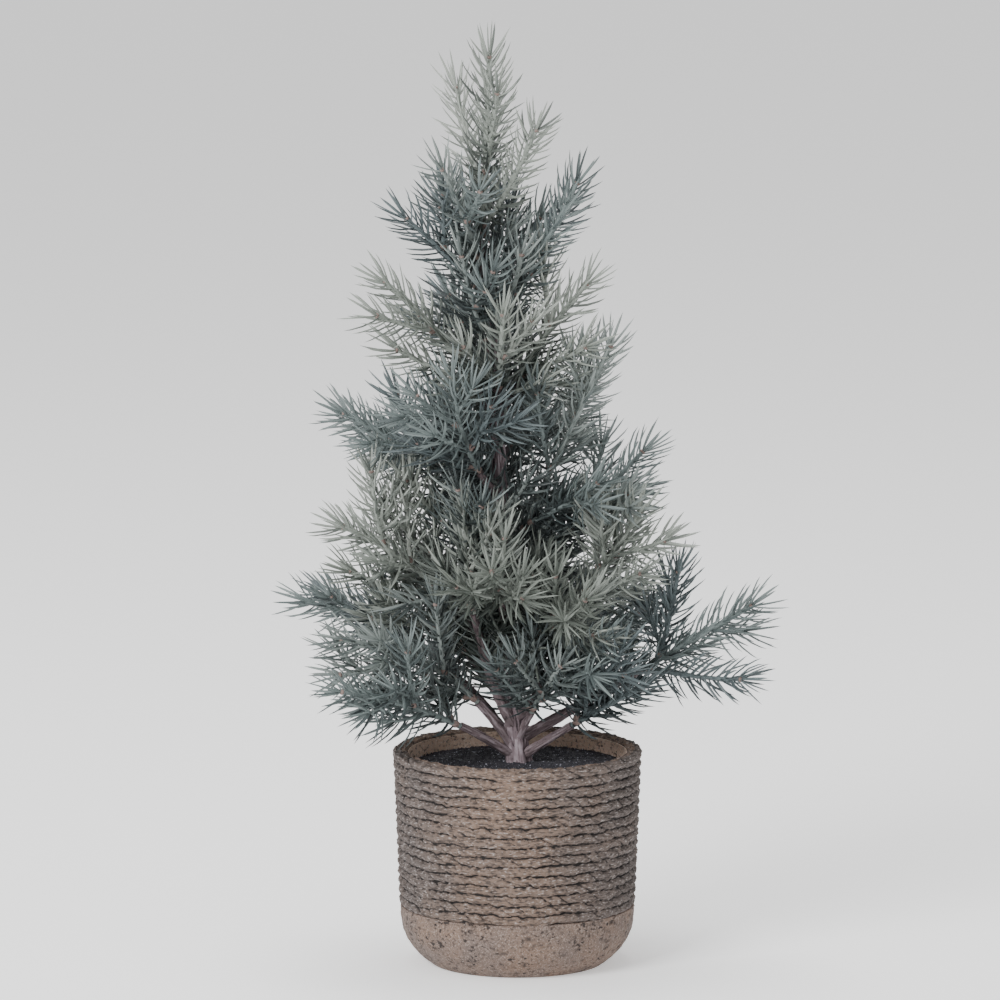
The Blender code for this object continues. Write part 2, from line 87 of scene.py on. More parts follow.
# Finer twigs between the side shoots, on the boughs and on the trunk
FINE_SEED = 41
FINE_SPACING = 22 * MM
FINE_LENGTHS = (18 * MM, 34 * MM)
FINE_SHORTEST = 10 * MM
FINE_SHORTER_BY = 0.4
FINE_STEM_SHARE = 0.75
FINE_REACH = 15 * MM
FINE_FIRST_AT = 0.1
FINE_LAST_AT = 0.72
FINE_BELOW = 250
TRUNK_TWIG_SPACING = 6 * MM
TRUNK_TWIG_RISE = 38
TRUNK_TWIG_FROM = 117 * MM
BOUGH_TWIG_SPACING = 13 * MM
BOUGH_TWIG_FIRST_AT = 0.8
BOUGH_TWIG_SPREAD = 62
BARE_BELOW = 125
CLOTHED_FROM = 3
CLOTHED_ABOVE = 133 * MM
GOLDEN_TURN = 137.5
ON_TRUNK = -1

Colour = tuple[float, float, float, float]


def srgb(red: int, green: int, blue: int) -> Colour:
    """Linear colour of three display values.

    Args:
        red: Red, from 0 to 255.
        green: Green.
        blue: Blue.

    Returns:
        The colour, opaque.
    """
    linear = []
    for value in (red, green, blue):
        share = value / 255
        linear.append(share / 12.92 if share <= 0.04045 else ((share + 0.055) / 1.055) ** 2.4)
    return (linear[0], linear[1], linear[2], 1.0)


# ---------------------------------------------------------------- shader maths


class Wire:
    """One output socket, whose arithmetic adds Math nodes to its material."""

    def __init__(self, paint: "Paint", socket: bpy.types.NodeSocket) -> None:
        """Wraps a socket.

        Args:
            paint: The material that the socket belongs to.
            socket: The output socket.
        """
        self.paint = paint
        self.socket = socket

    def maths(self, operation: str, left: "Value", right: "Value" = 0.0) -> "Wire":
        """Adds a Math node.

        Args:
            operation: Blender's name of the operation.
            left: First operand.
            right: Second operand.

        Returns:
            The node's result.
        """
        return self.paint.node("ShaderNodeMath", {"operation": operation}, {0: left, 1: right})

    def __add__(self, other: "Value") -> "Wire":
        """Sum."""
        return self.maths("ADD", self, other)

    def __radd__(self, other: float) -> "Wire":
        """Sum with a number on the left."""
        return self.maths("ADD", other, self)

    def __sub__(self, other: "Value") -> "Wire":
        """Difference."""
        return self.maths("SUBTRACT", self, other)

    def __rsub__(self, other: float) -> "Wire":
        """Difference from a number on the left."""
        return self.maths("SUBTRACT", other, self)

    def __mul__(self, other: "Value") -> "Wire":
        """Product."""
        return self.maths("MULTIPLY", self, other)

    def __rmul__(self, other: float) -> "Wire":
        """Product with a number on the left."""
        return self.maths("MULTIPLY", other, self)

    def between(self, low: float, high: float) -> "Wire":
        """Smooth step of this value from 0 at low to 1 at high.

        Args:
            low: Value that gives 0.
            high: Value that gives 1.

        Returns:
            The stepped value.
        """
        settings = {"interpolation_type": "SMOOTHSTEP"}
        sockets = {"Value": self, "From Min": low, "From Max": high}
        return self.paint.node("ShaderNodeMapRange", settings, sockets)


Value = Wire | float


class Paint:
    """One material's node tree, written as expressions."""

    def __init__(self, name: str) -> None:
        """Starts a Principled material.

        Args:
            name: The material's name.
        """
        self.material = bpy.data.materials.new(name)
        self.material.use_nodes = True
        self.shader = self.material.node_tree.nodes["Principled BSDF"]

    def node(self, kind: str, settings: dict[str, Any], sockets: dict[Any, Any],
             output: int = 0) -> Wire:
        """Adds one node.

        Args:
            kind: Blender's name of the node type.
            settings: The node's own settings, set first.
            sockets: Values or wires of its input sockets, by name or index.
            output: Index of the output socket wanted.

        Returns:
            The output, ready for arithmetic.
        """
        made = self.material.node_tree.nodes.new(kind)
        for key, value in settings.items():
            setattr(made, key, value)
        for key, value in sockets.items():
            if isinstance(value, Wire):
                self.material.node_tree.links.new(value.socket, made.inputs[key])
            else:
                made.inputs[key].default_value = value
        return Wire(self, made.outputs[output])

    def place(self, stretch: Sequence[float] = (1, 1, 1)) -> Wire:
        """Object coordinates, scaled along each axis.

        Args:
            stretch: Scale along X, Y and Z.

        Returns:
            The coordinates.
        """
        coordinates = self.node("ShaderNodeTexCoord", {}, {}, 3)
        return self.node("ShaderNodeMapping", {}, {"Vector": coordinates, "Scale": stretch})

    def noise(self, size: float, detail: float = 2, place: Wire | None = None) -> Wire:
        """Soft noise from 0 to 1.

        Args:
            size: Size of its patches, in metres.
            detail: How many finer layers it has.
            place: Coordinates, or None for the object's own.

        Returns:
            The noise value.
        """
        sockets = {"Vector": place or self.place(), "Scale": 1 / size, "Detail": detail}
        return self.node("ShaderNodeTexNoise", {}, sockets)

    def mix(self, share: Value, low: "Wire | Colour", high: "Wire | Colour") -> Wire:
        """Blend of two colours.

        Args:
            share: 0 for the first colour, 1 for the second.
            low: First colour.
            high: Second colour.

        Returns:
            The blended colour.
        """
        sockets = {0: share, 6: low, 7: high}
        return self.node("ShaderNodeMix", {"data_type": "RGBA"}, sockets, 2)

    def attribute(self, name: str) -> Wire:
        """A number kept on the piece's own mesh.

        Args:
            name: The attribute's name.

        Returns:
            Its value.
        """
        return self.node("ShaderNodeAttribute", {"attribute_name": name}, {}, 2)

    def finish(self, colour: Wire, roughness: Value, relief: Wire | None = None,
               strength: float = 0.5, depth: float = 0.5 * MM) -> bpy.types.Material:
        """Feeds the shader and returns the material.

        Args:
            colour: Base colour.
            roughness: Roughness, a number or a wire.
            relief: Height for a Bump node, from 0 to 1.
            strength: The bump's strength.
            depth: The bump's depth, in metres.

        Returns:
            The finished material.
        """
        links = self.material.node_tree.links
        links.new(colour.socket, self.shader.inputs["Base Color"])
        if isinstance(roughness, Wire):
            links.new(roughness.socket, self.shader.inputs["Roughness"])
        else:
            self.shader.inputs["Roughness"].default_value = roughness
        if relief is not None:
            sockets = {"Height": relief, "Strength": strength, "Distance": depth}
            bump = self.node("ShaderNodeBump", {}, sockets)
            links.new(bump.socket, self.shader.inputs["Normal"])
        return self.material


# ---------------------------------------------------------------- finishes


@dataclass(frozen=True)
class NeedleFinish:
    """Moulded needles in one plain matte colour."""

    name: str
    colour: Colour
    roughness: float = 0.5
    sheen: float = 0.45

    def material(self) -> bpy.types.Material:
        """Makes the needles' material.

        Returns:
            The material.
        """
        paint = Paint(self.name)
        paint.shader.inputs["Base Color"].default_value = self.colour
        paint.shader.inputs["Roughness"].default_value = self.roughness
        paint.shader.inputs["Specular IOR Level"].default_value = self.sheen
        return paint.material


@dataclass(frozen=True)
class BarkFinish:
    """Bark: a red-brown ground with grey on its ridges, partly the bark's paint and partly painted
    highlight, and painted shade in the furrows.
    """

    name: str
    ground: Colour
    ridge: Colour
    painted_hollow_shade: Colour
    roughness: float = 0.78
    patch_size: float = 9 * MM
    grain_size: float = 0.7 * MM
    relief: float = 0.3 * MM

    def material(self) -> bpy.types.Material:
        """Makes the bark's material.

        Returns:
            The material.
        """
        paint = Paint(f"bark_{self.name}")
        ridge = paint.attribute("ridge")
        patch = paint.noise(self.patch_size, 2)
        fine = paint.noise(self.grain_size, 3)
        mixed = ridge * 0.8 + fine * 0.4 - 0.1
        # Painted shade: where the ridge value is low, the furrows turn dark.
        colour = paint.mix(mixed.between(0.06, 0.36), self.painted_hollow_shade, self.ground)
        # Grey on the high ridges, in patches: partly the bark's paint, partly painted highlight.
        colour = paint.mix(mixed.between(0.5, 0.95) * patch.between(0.3, 0.6), colour, self.ridge)
        return paint.finish(colour, self.roughness, fine, 0.6, self.relief)


@dataclass(frozen=True)
class RopeFinish:
    """Cast rope: taupe crests with warm patches, one of which faces the front and also paints the
    front lighter than the sides; painted shade in the grooves, notches and low folds of the fibre;
    and grey flecks on the fibres, partly real and partly painted highlight.
    """

    name: str
    crest: Colour
    warm: Colour
    painted_fibre_shade: Colour
    groove: Colour
    fleck_and_highlight: Colour
    roughness: float = 0.9
    patch_size: float = 20 * MM
    fibre_size: float = 1.1 * MM
    fibre_stretch: tuple[float, float, float] = (0.4, 0.4, 1.3)
    fleck_size: float = 0.8 * MM
    fleck_stretch: tuple[float, float, float] = (0.5, 0.5, 1.3)
    relief: float = 0.8 * MM

    def material(self) -> bpy.types.Material:
        """Makes the rope wall's material.

        Returns:
            The material.
        """
        paint = Paint(self.name)
        painted_hollow_shade = paint.attribute("painted_hollow_shade")
        # Warm patches from noise, plus the warm band facing the front, partly a warm patch and
        # partly painted light that leaves the sides darker.
        patch = paint.noise(self.patch_size, 3) * 0.7 + paint.attribute("warm") * 0.4
        fibre = paint.noise(self.fibre_size, 4, paint.place(self.fibre_stretch))
        fleck = paint.noise(self.fleck_size, 1, paint.place(self.fleck_stretch))
        colour = paint.mix(patch.between(0.2, 0.9), self.crest, self.warm)
        # Painted shade in the low folds of the fibre, where its bump is lowest.
        colour = paint.mix(fibre.between(0.54, 0.34) * 0.9, colour, self.painted_fibre_shade)
        # Pale flecks on the fibres: partly real flecks, partly painted highlight.
        flecks_and_highlights = fleck.between(0.54, 0.7) * fibre.between(0.42, 0.58)
        colour = paint.mix(flecks_and_highlights * 0.85, colour, self.fleck_and_highlight)
        # Painted shade: grooves, notches and low grain turn near-black.
        colour = paint.mix(painted_hollow_shade.between(0.3, 0.78), colour, self.groove)
        return paint.finish(colour, self.roughness, fibre * 0.7 + fleck * 0.3, 1.0, self.relief)


@dataclass(frozen=True)
class CementFinish:
    """Cast cement: warm and grey patches, a fine grain, and small open pores with painted shade in
    them.
    """

    name: str
    ground: Colour
    warm: Colour
    pale: Colour
    dark: Colour
    pores: float
    roughness: float = 0.88
    patch_size: float = 15 * MM
    grain_size: float = 1.5 * MM
    fleck_size: float = 0.7 * MM
    pore_size: float = 2.2 * MM
    pore_stretch: tuple[float, float, float] = (1, 1, 1.5)
    pore_patch_size: float = 11 * MM
    relief: float = 0.9 * MM

    def material(self) -> bpy.types.Material:
        """Makes the cement's material.

        Returns:
            The material.
        """
        paint = Paint(self.name)
        patch = paint.noise(self.patch_size, 3)
        grain = paint.noise(self.grain_size, 5)
        fleck = paint.noise(self.fleck_size, 2)
        # Painted shade in the pores: pits from noise and from the mesh's pit value turn dark.
        pits = paint.noise(self.pore_size, 2, paint.place(self.pore_stretch)).between(0.57, 0.66)
        pits = pits * paint.noise(self.pore_patch_size, 1).between(0.42, 0.6) * self.pores
        pits = pits.maths("MAXIMUM", pits, paint.attribute("pit"))
        colour = paint.mix(patch.between(0.25, 0.75), self.ground, self.warm)
        colour = paint.mix(fleck.between(0.5, 0.68) * 0.8, colour, self.pale)
        colour = paint.mix(grain.between(0.48, 0.32) * 0.65, colour, self.dark)
        colour = paint.mix(pits * 0.9, colour, self.dark)
        return paint.finish(colour, self.roughness, grain * 0.6 - pits * 0.6, 1.0, self.relief)


@dataclass(frozen=True)
class GritFinish:
    """Black grit with faint painted glints."""

    name: str
    ground: Colour
    painted_glint: Colour
    roughness: float = 0.7
    grain_size: float = 1.2 * MM
    fine_size: float = 0.4 * MM
    relief: float = 0.4 * MM

    def material(self) -> bpy.types.Material:
        """Makes the grit's material.

        Returns:
            The material.
        """
        paint = Paint(self.name)
        grain = paint.noise(self.grain_size, 1)
        fine = paint.noise(self.fine_size, 1)
        # Painted glints: bright specks where the coarse noise peaks.
        colour = paint.mix(grain.between(0.65, 0.74), self.ground, self.painted_glint)
        return paint.finish(colour, self.roughness, fine * 0.6 + grain * 0.4, 0.9, self.relief)


@dataclass(frozen=True)
class FloorFinish:
    """Plain pale floor."""

    colour: Colour = (0.92, 0.92, 0.92, 1.0)
    glow: float = 0.5
    roughness: float = 0.9

    def material(self) -> bpy.types.Material:
        """Makes the floor's material.

        Returns:
            The material.
        """
        paint = Paint("pale_floor")
        paint.shader.inputs["Base Color"].default_value = self.colour
        paint.shader.inputs["Roughness"].default_value = self.roughness
        paint.shader.inputs["Emission Color"].default_value = self.colour
        paint.shader.inputs["Emission Strength"].default_value = self.glow
        return paint.material


class Tint(Enum):
    """Colour of a limb's mass, by the record's material slots."""

    SAGE = "needles_sage"
    BLUE = "needles_blue"
    DARK = "needles_dark"


class Spray(Enum):
    """Colour of one stem's needles."""

    PALE = "pale"
    SAGE = "sage"
    # Sage in painted shade: a darker copy of sage, reached only where a limb is stepped darker.
    SHADED_SAGE = "shaded_sage"
    MIST = "mist"
    BLUE = "blue"
    SLATE = "slate"


SPRAYS_OF = {
    Tint.SAGE: (Spray.SAGE, Spray.SAGE, Spray.PALE, Spray.SAGE, Spray.MIST),
    Tint.BLUE: (Spray.MIST, Spray.BLUE, Spray.BLUE, Spray.MIST, Spray.BLUE),
    Tint.DARK: (Spray.SLATE, Spray.BLUE, Spray.SLATE, Spray.SLATE, Spray.BLUE),
}
# Each family runs from pale to dark in one hue, so that a limb's steps of painted shade and light
# move along it.
FAMILIES = (
    (Spray.PALE, Spray.SAGE, Spray.SHADED_SAGE),
    (Spray.MIST, Spray.BLUE, Spray.SLATE),
)
# Painted shade and light: each spray has three copies of one colour, a darker one for needles
# painted as shaded inside the crown and under their stem, a middle one, and a paler one for needles
# painted as lit outside and on top.
PAINTED_SHADE_DEPTHS = ("inner", "middle", "outer")
PAINTED_SHADE_NEEDLE_COLOURS = {
    Spray.PALE: (srgb(78, 85, 80), srgb(114, 120, 114), srgb(151, 156, 149)),
    Spray.SAGE: (srgb(68, 75, 71), srgb(103, 109, 104), srgb(139, 145, 138)),
    Spray.SHADED_SAGE: (srgb(60, 66, 62), srgb(88, 94, 88), srgb(119, 125, 118)),
    Spray.MIST: (srgb(62, 69, 69), srgb(95, 103, 102), srgb(129, 137, 134)),
    Spray.BLUE: (srgb(54, 61, 62), srgb(81, 90, 90), srgb(111, 121, 120)),
    Spray.SLATE: (srgb(41, 48, 49), srgb(62, 71, 73), srgb(90, 100, 102)),
}
# The third colour of each bark is painted shade for its furrows.
TRUNK_BARK = BarkFinish("trunk", srgb(122, 107, 112), srgb(174, 161, 167), srgb(54, 44, 47))
# Painted shade: the boughs' bark is a darker copy of the trunk's, for the shade of the crown.
SHADED_BOUGH_BARK = BarkFinish("boughs", srgb(108, 94, 97), srgb(152, 139, 144), srgb(54, 45, 47))
SCALE_BARK = BarkFinish("bud_scales", srgb(130, 112, 106), srgb(158, 142, 136), srgb(90, 75, 70))
# Its colours: crest, warm, painted shade in the fibre's folds, painted shade in the grooves, and
# pale flecks that are partly painted highlight.
ROPE = RopeFinish("pot_rope", srgb(91, 83, 80), srgb(124, 104, 91), srgb(60, 53, 50),
                  srgb(28, 24, 23), srgb(160, 153, 150))
CEMENT = CementFinish("pot_cement", srgb(104, 91, 85), srgb(119, 98, 85), srgb(152, 137, 128),
                      srgb(50, 43, 40), 1.2)
# Painted light: the lining's colours are much paler than the pot's brown, to stand in for light on
# the inner wall under the crown's shade.
PAINTED_LIGHT_LINING = CementFinish("pot_lining", srgb(204, 179, 162), srgb(214, 185, 164), srgb(225, 210, 199),
                      srgb(92, 78, 69), 1.0)
# The second colour is the grit's painted glints.
GRIT = GritFinish("filling_grit", srgb(47, 46, 53), srgb(190, 190, 203))


# ---------------------------------------------------------------- limbs


class Limb(NamedTuple):
    """One limb with its mass of needles, in millimetres and degrees.

    height: where it leaves the trunk. azimuth: 0 right, 90 back, 180 left, 270 front.
    rise: slope at the trunk. bend, sweep: change of slope and azimuth by the tip.
    bare: length with no needles. spray: length of the needled main shoot.
    sides, side: number of side shoots and length of the first. until: where on the main
    shoot the last one starts. roll: way of the first about the main shoot, 0 to its
    right, 90 above, -90 below. turn: angle from each one to the next.
    """

    name: str
    height: float
    azimuth: float
    rise: float
    bend: float
    sweep: float
    bare: float
    spray: float
    sides: int
    side: float
    until: float
    roll: float
    turn: float
    tint: Tint
    has_bough: bool = True


LIMBS = (
    # Top: shoots that grow straight out of the trunk
    Limb("leader", 352, 0, 88, 0, 0, 0, 86, 3, 70, 0.35, 332, 190, Tint.SAGE, False),
    Limb("crown_left", 322, 190, 50, -10, 0, 8, 48, 2, 32, 0.5, 60, 60, Tint.DARK, False),
    Limb("crown_front", 328, 230, 66, -10, 0, 16, 52, 2, 30, 0.4, 0, 180, Tint.BLUE, False),
    Limb("crown_right", 318, 345, 44, 22, 0, 9, 66, 2, 38, 0.4, 110, 70, Tint.BLUE, False),
    Limb("crown_back", 324, 80, 50, 5, 0, 9, 48, 2, 36, 0.4, 0, 180, Tint.DARK, False),
    Limb("shoulder_left", 290, 226, 62, 12, 0, 13, 46, 2, 28, 0.4, 0, 180, Tint.BLUE, False),
    Limb("shoulder_right", 298, 310, 60, 12, 0, 12, 40, 2, 28, 0.4, 0, 180, Tint.BLUE, False),
    # Upper whorl
    Limb("upper_left", 257, 186, 70, -32, 0, 24, 69, 3, 40, 0.5, -80, 160, Tint.SAGE),
    Limb("upper_front", 268, 275, 50, 16, 0, 16, 44, 2, 30, 0.4, 0, 180, Tint.SAGE, False),
    Limb("upper_right", 262, 352, 68, -20, 0, 25, 56, 2, 38, 0.5, -70, 160, Tint.SAGE),
    Limb("upper_back", 272, 112, 38, -6, 0, 20, 56, 3, 36, 0.5, 0, 180, Tint.DARK),
    # Middle whorl
    Limb("mid_left", 234, 183, 22, 4, 0, 14, 68, 3, 42, 0.6, 80, -45, Tint.BLUE),
    Limb("mid_front", 226, 236, 32, 50, 0, 24, 54, 3, 32, 0.5, -20, 180, Tint.BLUE, False),
    Limb("mid_right", 190, 350, 66, -2, 0, 22, 100, 3, 46, 0.6, -60, 110, Tint.BLUE),
    Limb("mid_back", 240, 75, 24, -6, 0, 20, 54, 3, 36, 0.5, 0, 180, Tint.DARK),
    Limb("mid_back_left", 212, 132, 34, -12, 0, 30, 60, 3, 38, 0.5, 0, 180, Tint.DARK),
    # Lower middle
    Limb("right_high", 172, 12, 51, -6, 0, 46, 54, 2, 42, 0.3, -20, 180, Tint.DARK),
    Limb("right_mid", 136, 340, 49, 8, 0, 58, 50, 3, 34, 0.5, -60, 150, Tint.SAGE),
    Limb("front_right", 146, 300, 34, -8, 0, 32, 50, 3, 32, 0.4, 60, 180, Tint.SAGE, False),
    Limb("front_high", 162, 264, 34, -10, 0, 34, 50, 3, 32, 0.4, -10, 120, Tint.SAGE, False),
    Limb("front_left", 172, 226, 52, 20, 0, 24, 46, 2, 30, 0.4, 10, 180, Tint.BLUE, False),
    Limb("left_mid", 126, 190, 70, -46, 0, 68, 56, 3, 48, 0.62, 70, 20, Tint.SAGE),
    Limb("left_front", 112, 226, 55, 34, 0, 68, 50, 2, 34, 0.4, 0, 180, Tint.SAGE),
    Limb("back_mid", 160, 88, 38, -14, 0, 42, 62, 4, 42, 0.6, 0, 180, Tint.DARK),
    Limb("back_left", 132, 124, 42, -18, 0, 34, 60, 3, 40, 0.5, 0, 180, Tint.BLUE, False),
    # Bottom whorl
    Limb("low_left", 114, 173, 66, -46, 0, 42, 70, 3, 38, 0.5, 70, 180, Tint.SAGE),
    Limb("low_front_left", 99, 203, 62, -54, 0, 36, 80, 3, 44, 0.5, -60, 180, Tint.BLUE),
    Limb("bottom_left", 99, 212, 34, -22, 0, 38, 70, 2, 42, 0.4, 60, 60, Tint.DARK),
    Limb("left_back", 103, 156, 54, -40, 0, 44, 82, 4, 44, 0.6, 0, 180, Tint.DARK),
    Limb("bottom_right", 99, 330, 34, -6, 0, 35, 44, 2, 40, 0.1, 90, 60, Tint.DARK),
    Limb("far_right", 108, 354, 30, 2, 0, 68, 63, 2, 49, 0.16, -60, 150, Tint.BLUE),
    Limb("front_low", 107, 292, 46, -12, 0, 26, 46, 3, 34, 0.4, 20, 180, Tint.BLUE, False),
    Limb("right_low", 118, 308, 38, -6, 0, 34, 50, 2, 36, 0.4, 70, 180, Tint.BLUE),
    Limb("bottom_back", 100, 100, 44, -30, 0, 40, 62, 3, 42, 0.5, 0, 180, Tint.DARK),
    Limb("back_right", 112, 54, 46, -30, 0, 44, 64, 4, 42, 0.6, 0, 180, Tint.DARK),
)
# Painted shade and light by limb: a positive step paints a limb's needles one colour darker within
# its family, to look shaded, and a negative step one colour paler, to look lit.
PAINTED_SHADE_STEPS = {
    "crown_right": 1,
    "mid_left": 1,
    "mid_front": 1,
    "mid_back": -1,
    "mid_back_left": -1,
    "right_high": -1,
    "back_mid": -1,
    "front_right": 1,
    "front_high": 1,
    "low_left": 1,
    "low_front_left": -1,
    "bottom_left": -1,
    "bottom_right": 1,
    "far_right": 1,
    "right_low": 1,
}


@dataclass(frozen=True)
class Trunk:
    """The trunk's line and thickness: it leans left, with a slight sway and a root flare."""

    foot_z: float = SOIL_TOP_Z + GAP
    tip_z: float = 352 * MM
    foot_x: float = 0.7 * MM
    lean: float = -17.3 * MM
    sway_x: float = -1.2 * MM
    sway_y: float = -1.5 * MM
    foot_radius: float = 4.6 * MM
    tip_radius: float = 1.6 * MM
    taper: float = 0.73
    flare: float = 0.9 * MM
    flare_height: float = 7 * MM

    def share(self, z: float) -> float:
        """How far up the trunk the height z is, 0 at its foot and 1 at its tip."""
        return (z - self.foot_z) / (self.tip_z - self.foot_z)

    def centre(self, z: float) -> Vector:
        """Middle of the trunk at a height.

        Args:
            z: The height.

        Returns:
            The place.
        """
        share = self.share(z)
        x = self.foot_x + self.lean * share + self.sway_x * math.sin(math.tau * share)
        return Vector((x, self.sway_y * math.sin(math.pi * share), z))

    def radius(self, z: float) -> float:
        """Radius of the trunk at a height, with its root flare.

        Args:
            z: The height.

        Returns:
            The radius.
        """
        narrowing = max(0, 1 - self.share(z)) ** self.taper
        flare = self.flare * math.exp((self.foot_z - z) / self.flare_height)
        return self.tip_radius + (self.foot_radius - self.tip_radius) * narrowing + flare


def heading(azimuth: float, slope: float) -> Vector:
    """Unit vector of a way.

    Args:
        azimuth: Its azimuth, in degrees.
        slope: How steeply it rises, in degrees.

    Returns:
        The vector.
    """
    across = math.cos(math.radians(slope))
    turn = math.radians(azimuth)
    return Vector((across * math.cos(turn), across * math.sin(turn), math.sin(math.radians(slope))))


def bent_path(start: Vector, azimuth: float, sweep: float, slope: float, bend: float,
              length: float) -> np.ndarray:
    """Points about PATH_STEP apart, whose slope and azimuth change evenly.

    Args:
        start: First point.
        azimuth: Azimuth at the start, in degrees.
        sweep: Change of azimuth by the end.
        slope: Slope at the start, in degrees.
        bend: Change of slope by the end.
        length: Length of the path.

    Returns:
        The points, one a row.
    """
    steps = max(2, round(length / PATH_STEP))
    points = [start]
    for step in range(steps):
        share = (step + 0.5) / steps
        way = heading(azimuth + sweep * share, slope + bend * share)
        points.append(points[-1] + way * (length / steps))
    return np.array([tuple(point) for point in points])


def lengths_along(path: np.ndarray) -> np.ndarray:
    """Length along a path at each of its points."""
    gaps = np.linalg.norm(np.diff(path, axis=0), axis=1)
    return np.concatenate([[0], np.cumsum(gaps)])


def sampled(rows: np.ndarray, lengths: np.ndarray, places: np.ndarray) -> np.ndarray:
    """Rows that stand at lengths along a path, blended at other places on it."""
    return np.stack([np.interp(places, lengths, column) for column in rows.T], axis=1)


def stretch(path: np.ndarray, start: float, end: float, step: float) -> np.ndarray:
    """Even points of a path between two lengths along it.

    Args:
        path: Points, one a row.
        start: Length along the path at the first point.
        end: Length at the last point, or more than the path's length for its end.
        step: Spacing, kept as near as fits.

    Returns:
        The points, one a row.
    """
    lengths = lengths_along(path)
    end = min(end, lengths[-1])
    places = np.linspace(start, end, max(2, round((end - start) / step) + 1))
    return sampled(path, lengths, places)


def spray_of(limb: Limb, index: int) -> Spray:
    """Colour of a limb's stem.

    Args:
        limb: The limb.
        index: The stem's number, 0 for the main shoot.

    Returns:
        The colour, moved darker or paler than the limb's tint by the limb's steps of painted shade
        and light.
    """
    sprays = SPRAYS_OF[limb.tint]
    spray = sprays[index % len(sprays)]
    family = next(greys for greys in FAMILIES if spray in greys)
    place = family.index(spray) + PAINTED_SHADE_STEPS.get(limb.name, 0)
    return family[min(max(place, 0), len(family) - 1)]


class Stem(NamedTuple):
    """One needled stem: its limb's number or ON_TRUNK, radius at its foot, points and colour."""

    limb: int
    radius: float
    points: np.ndarray
    spray: Spray


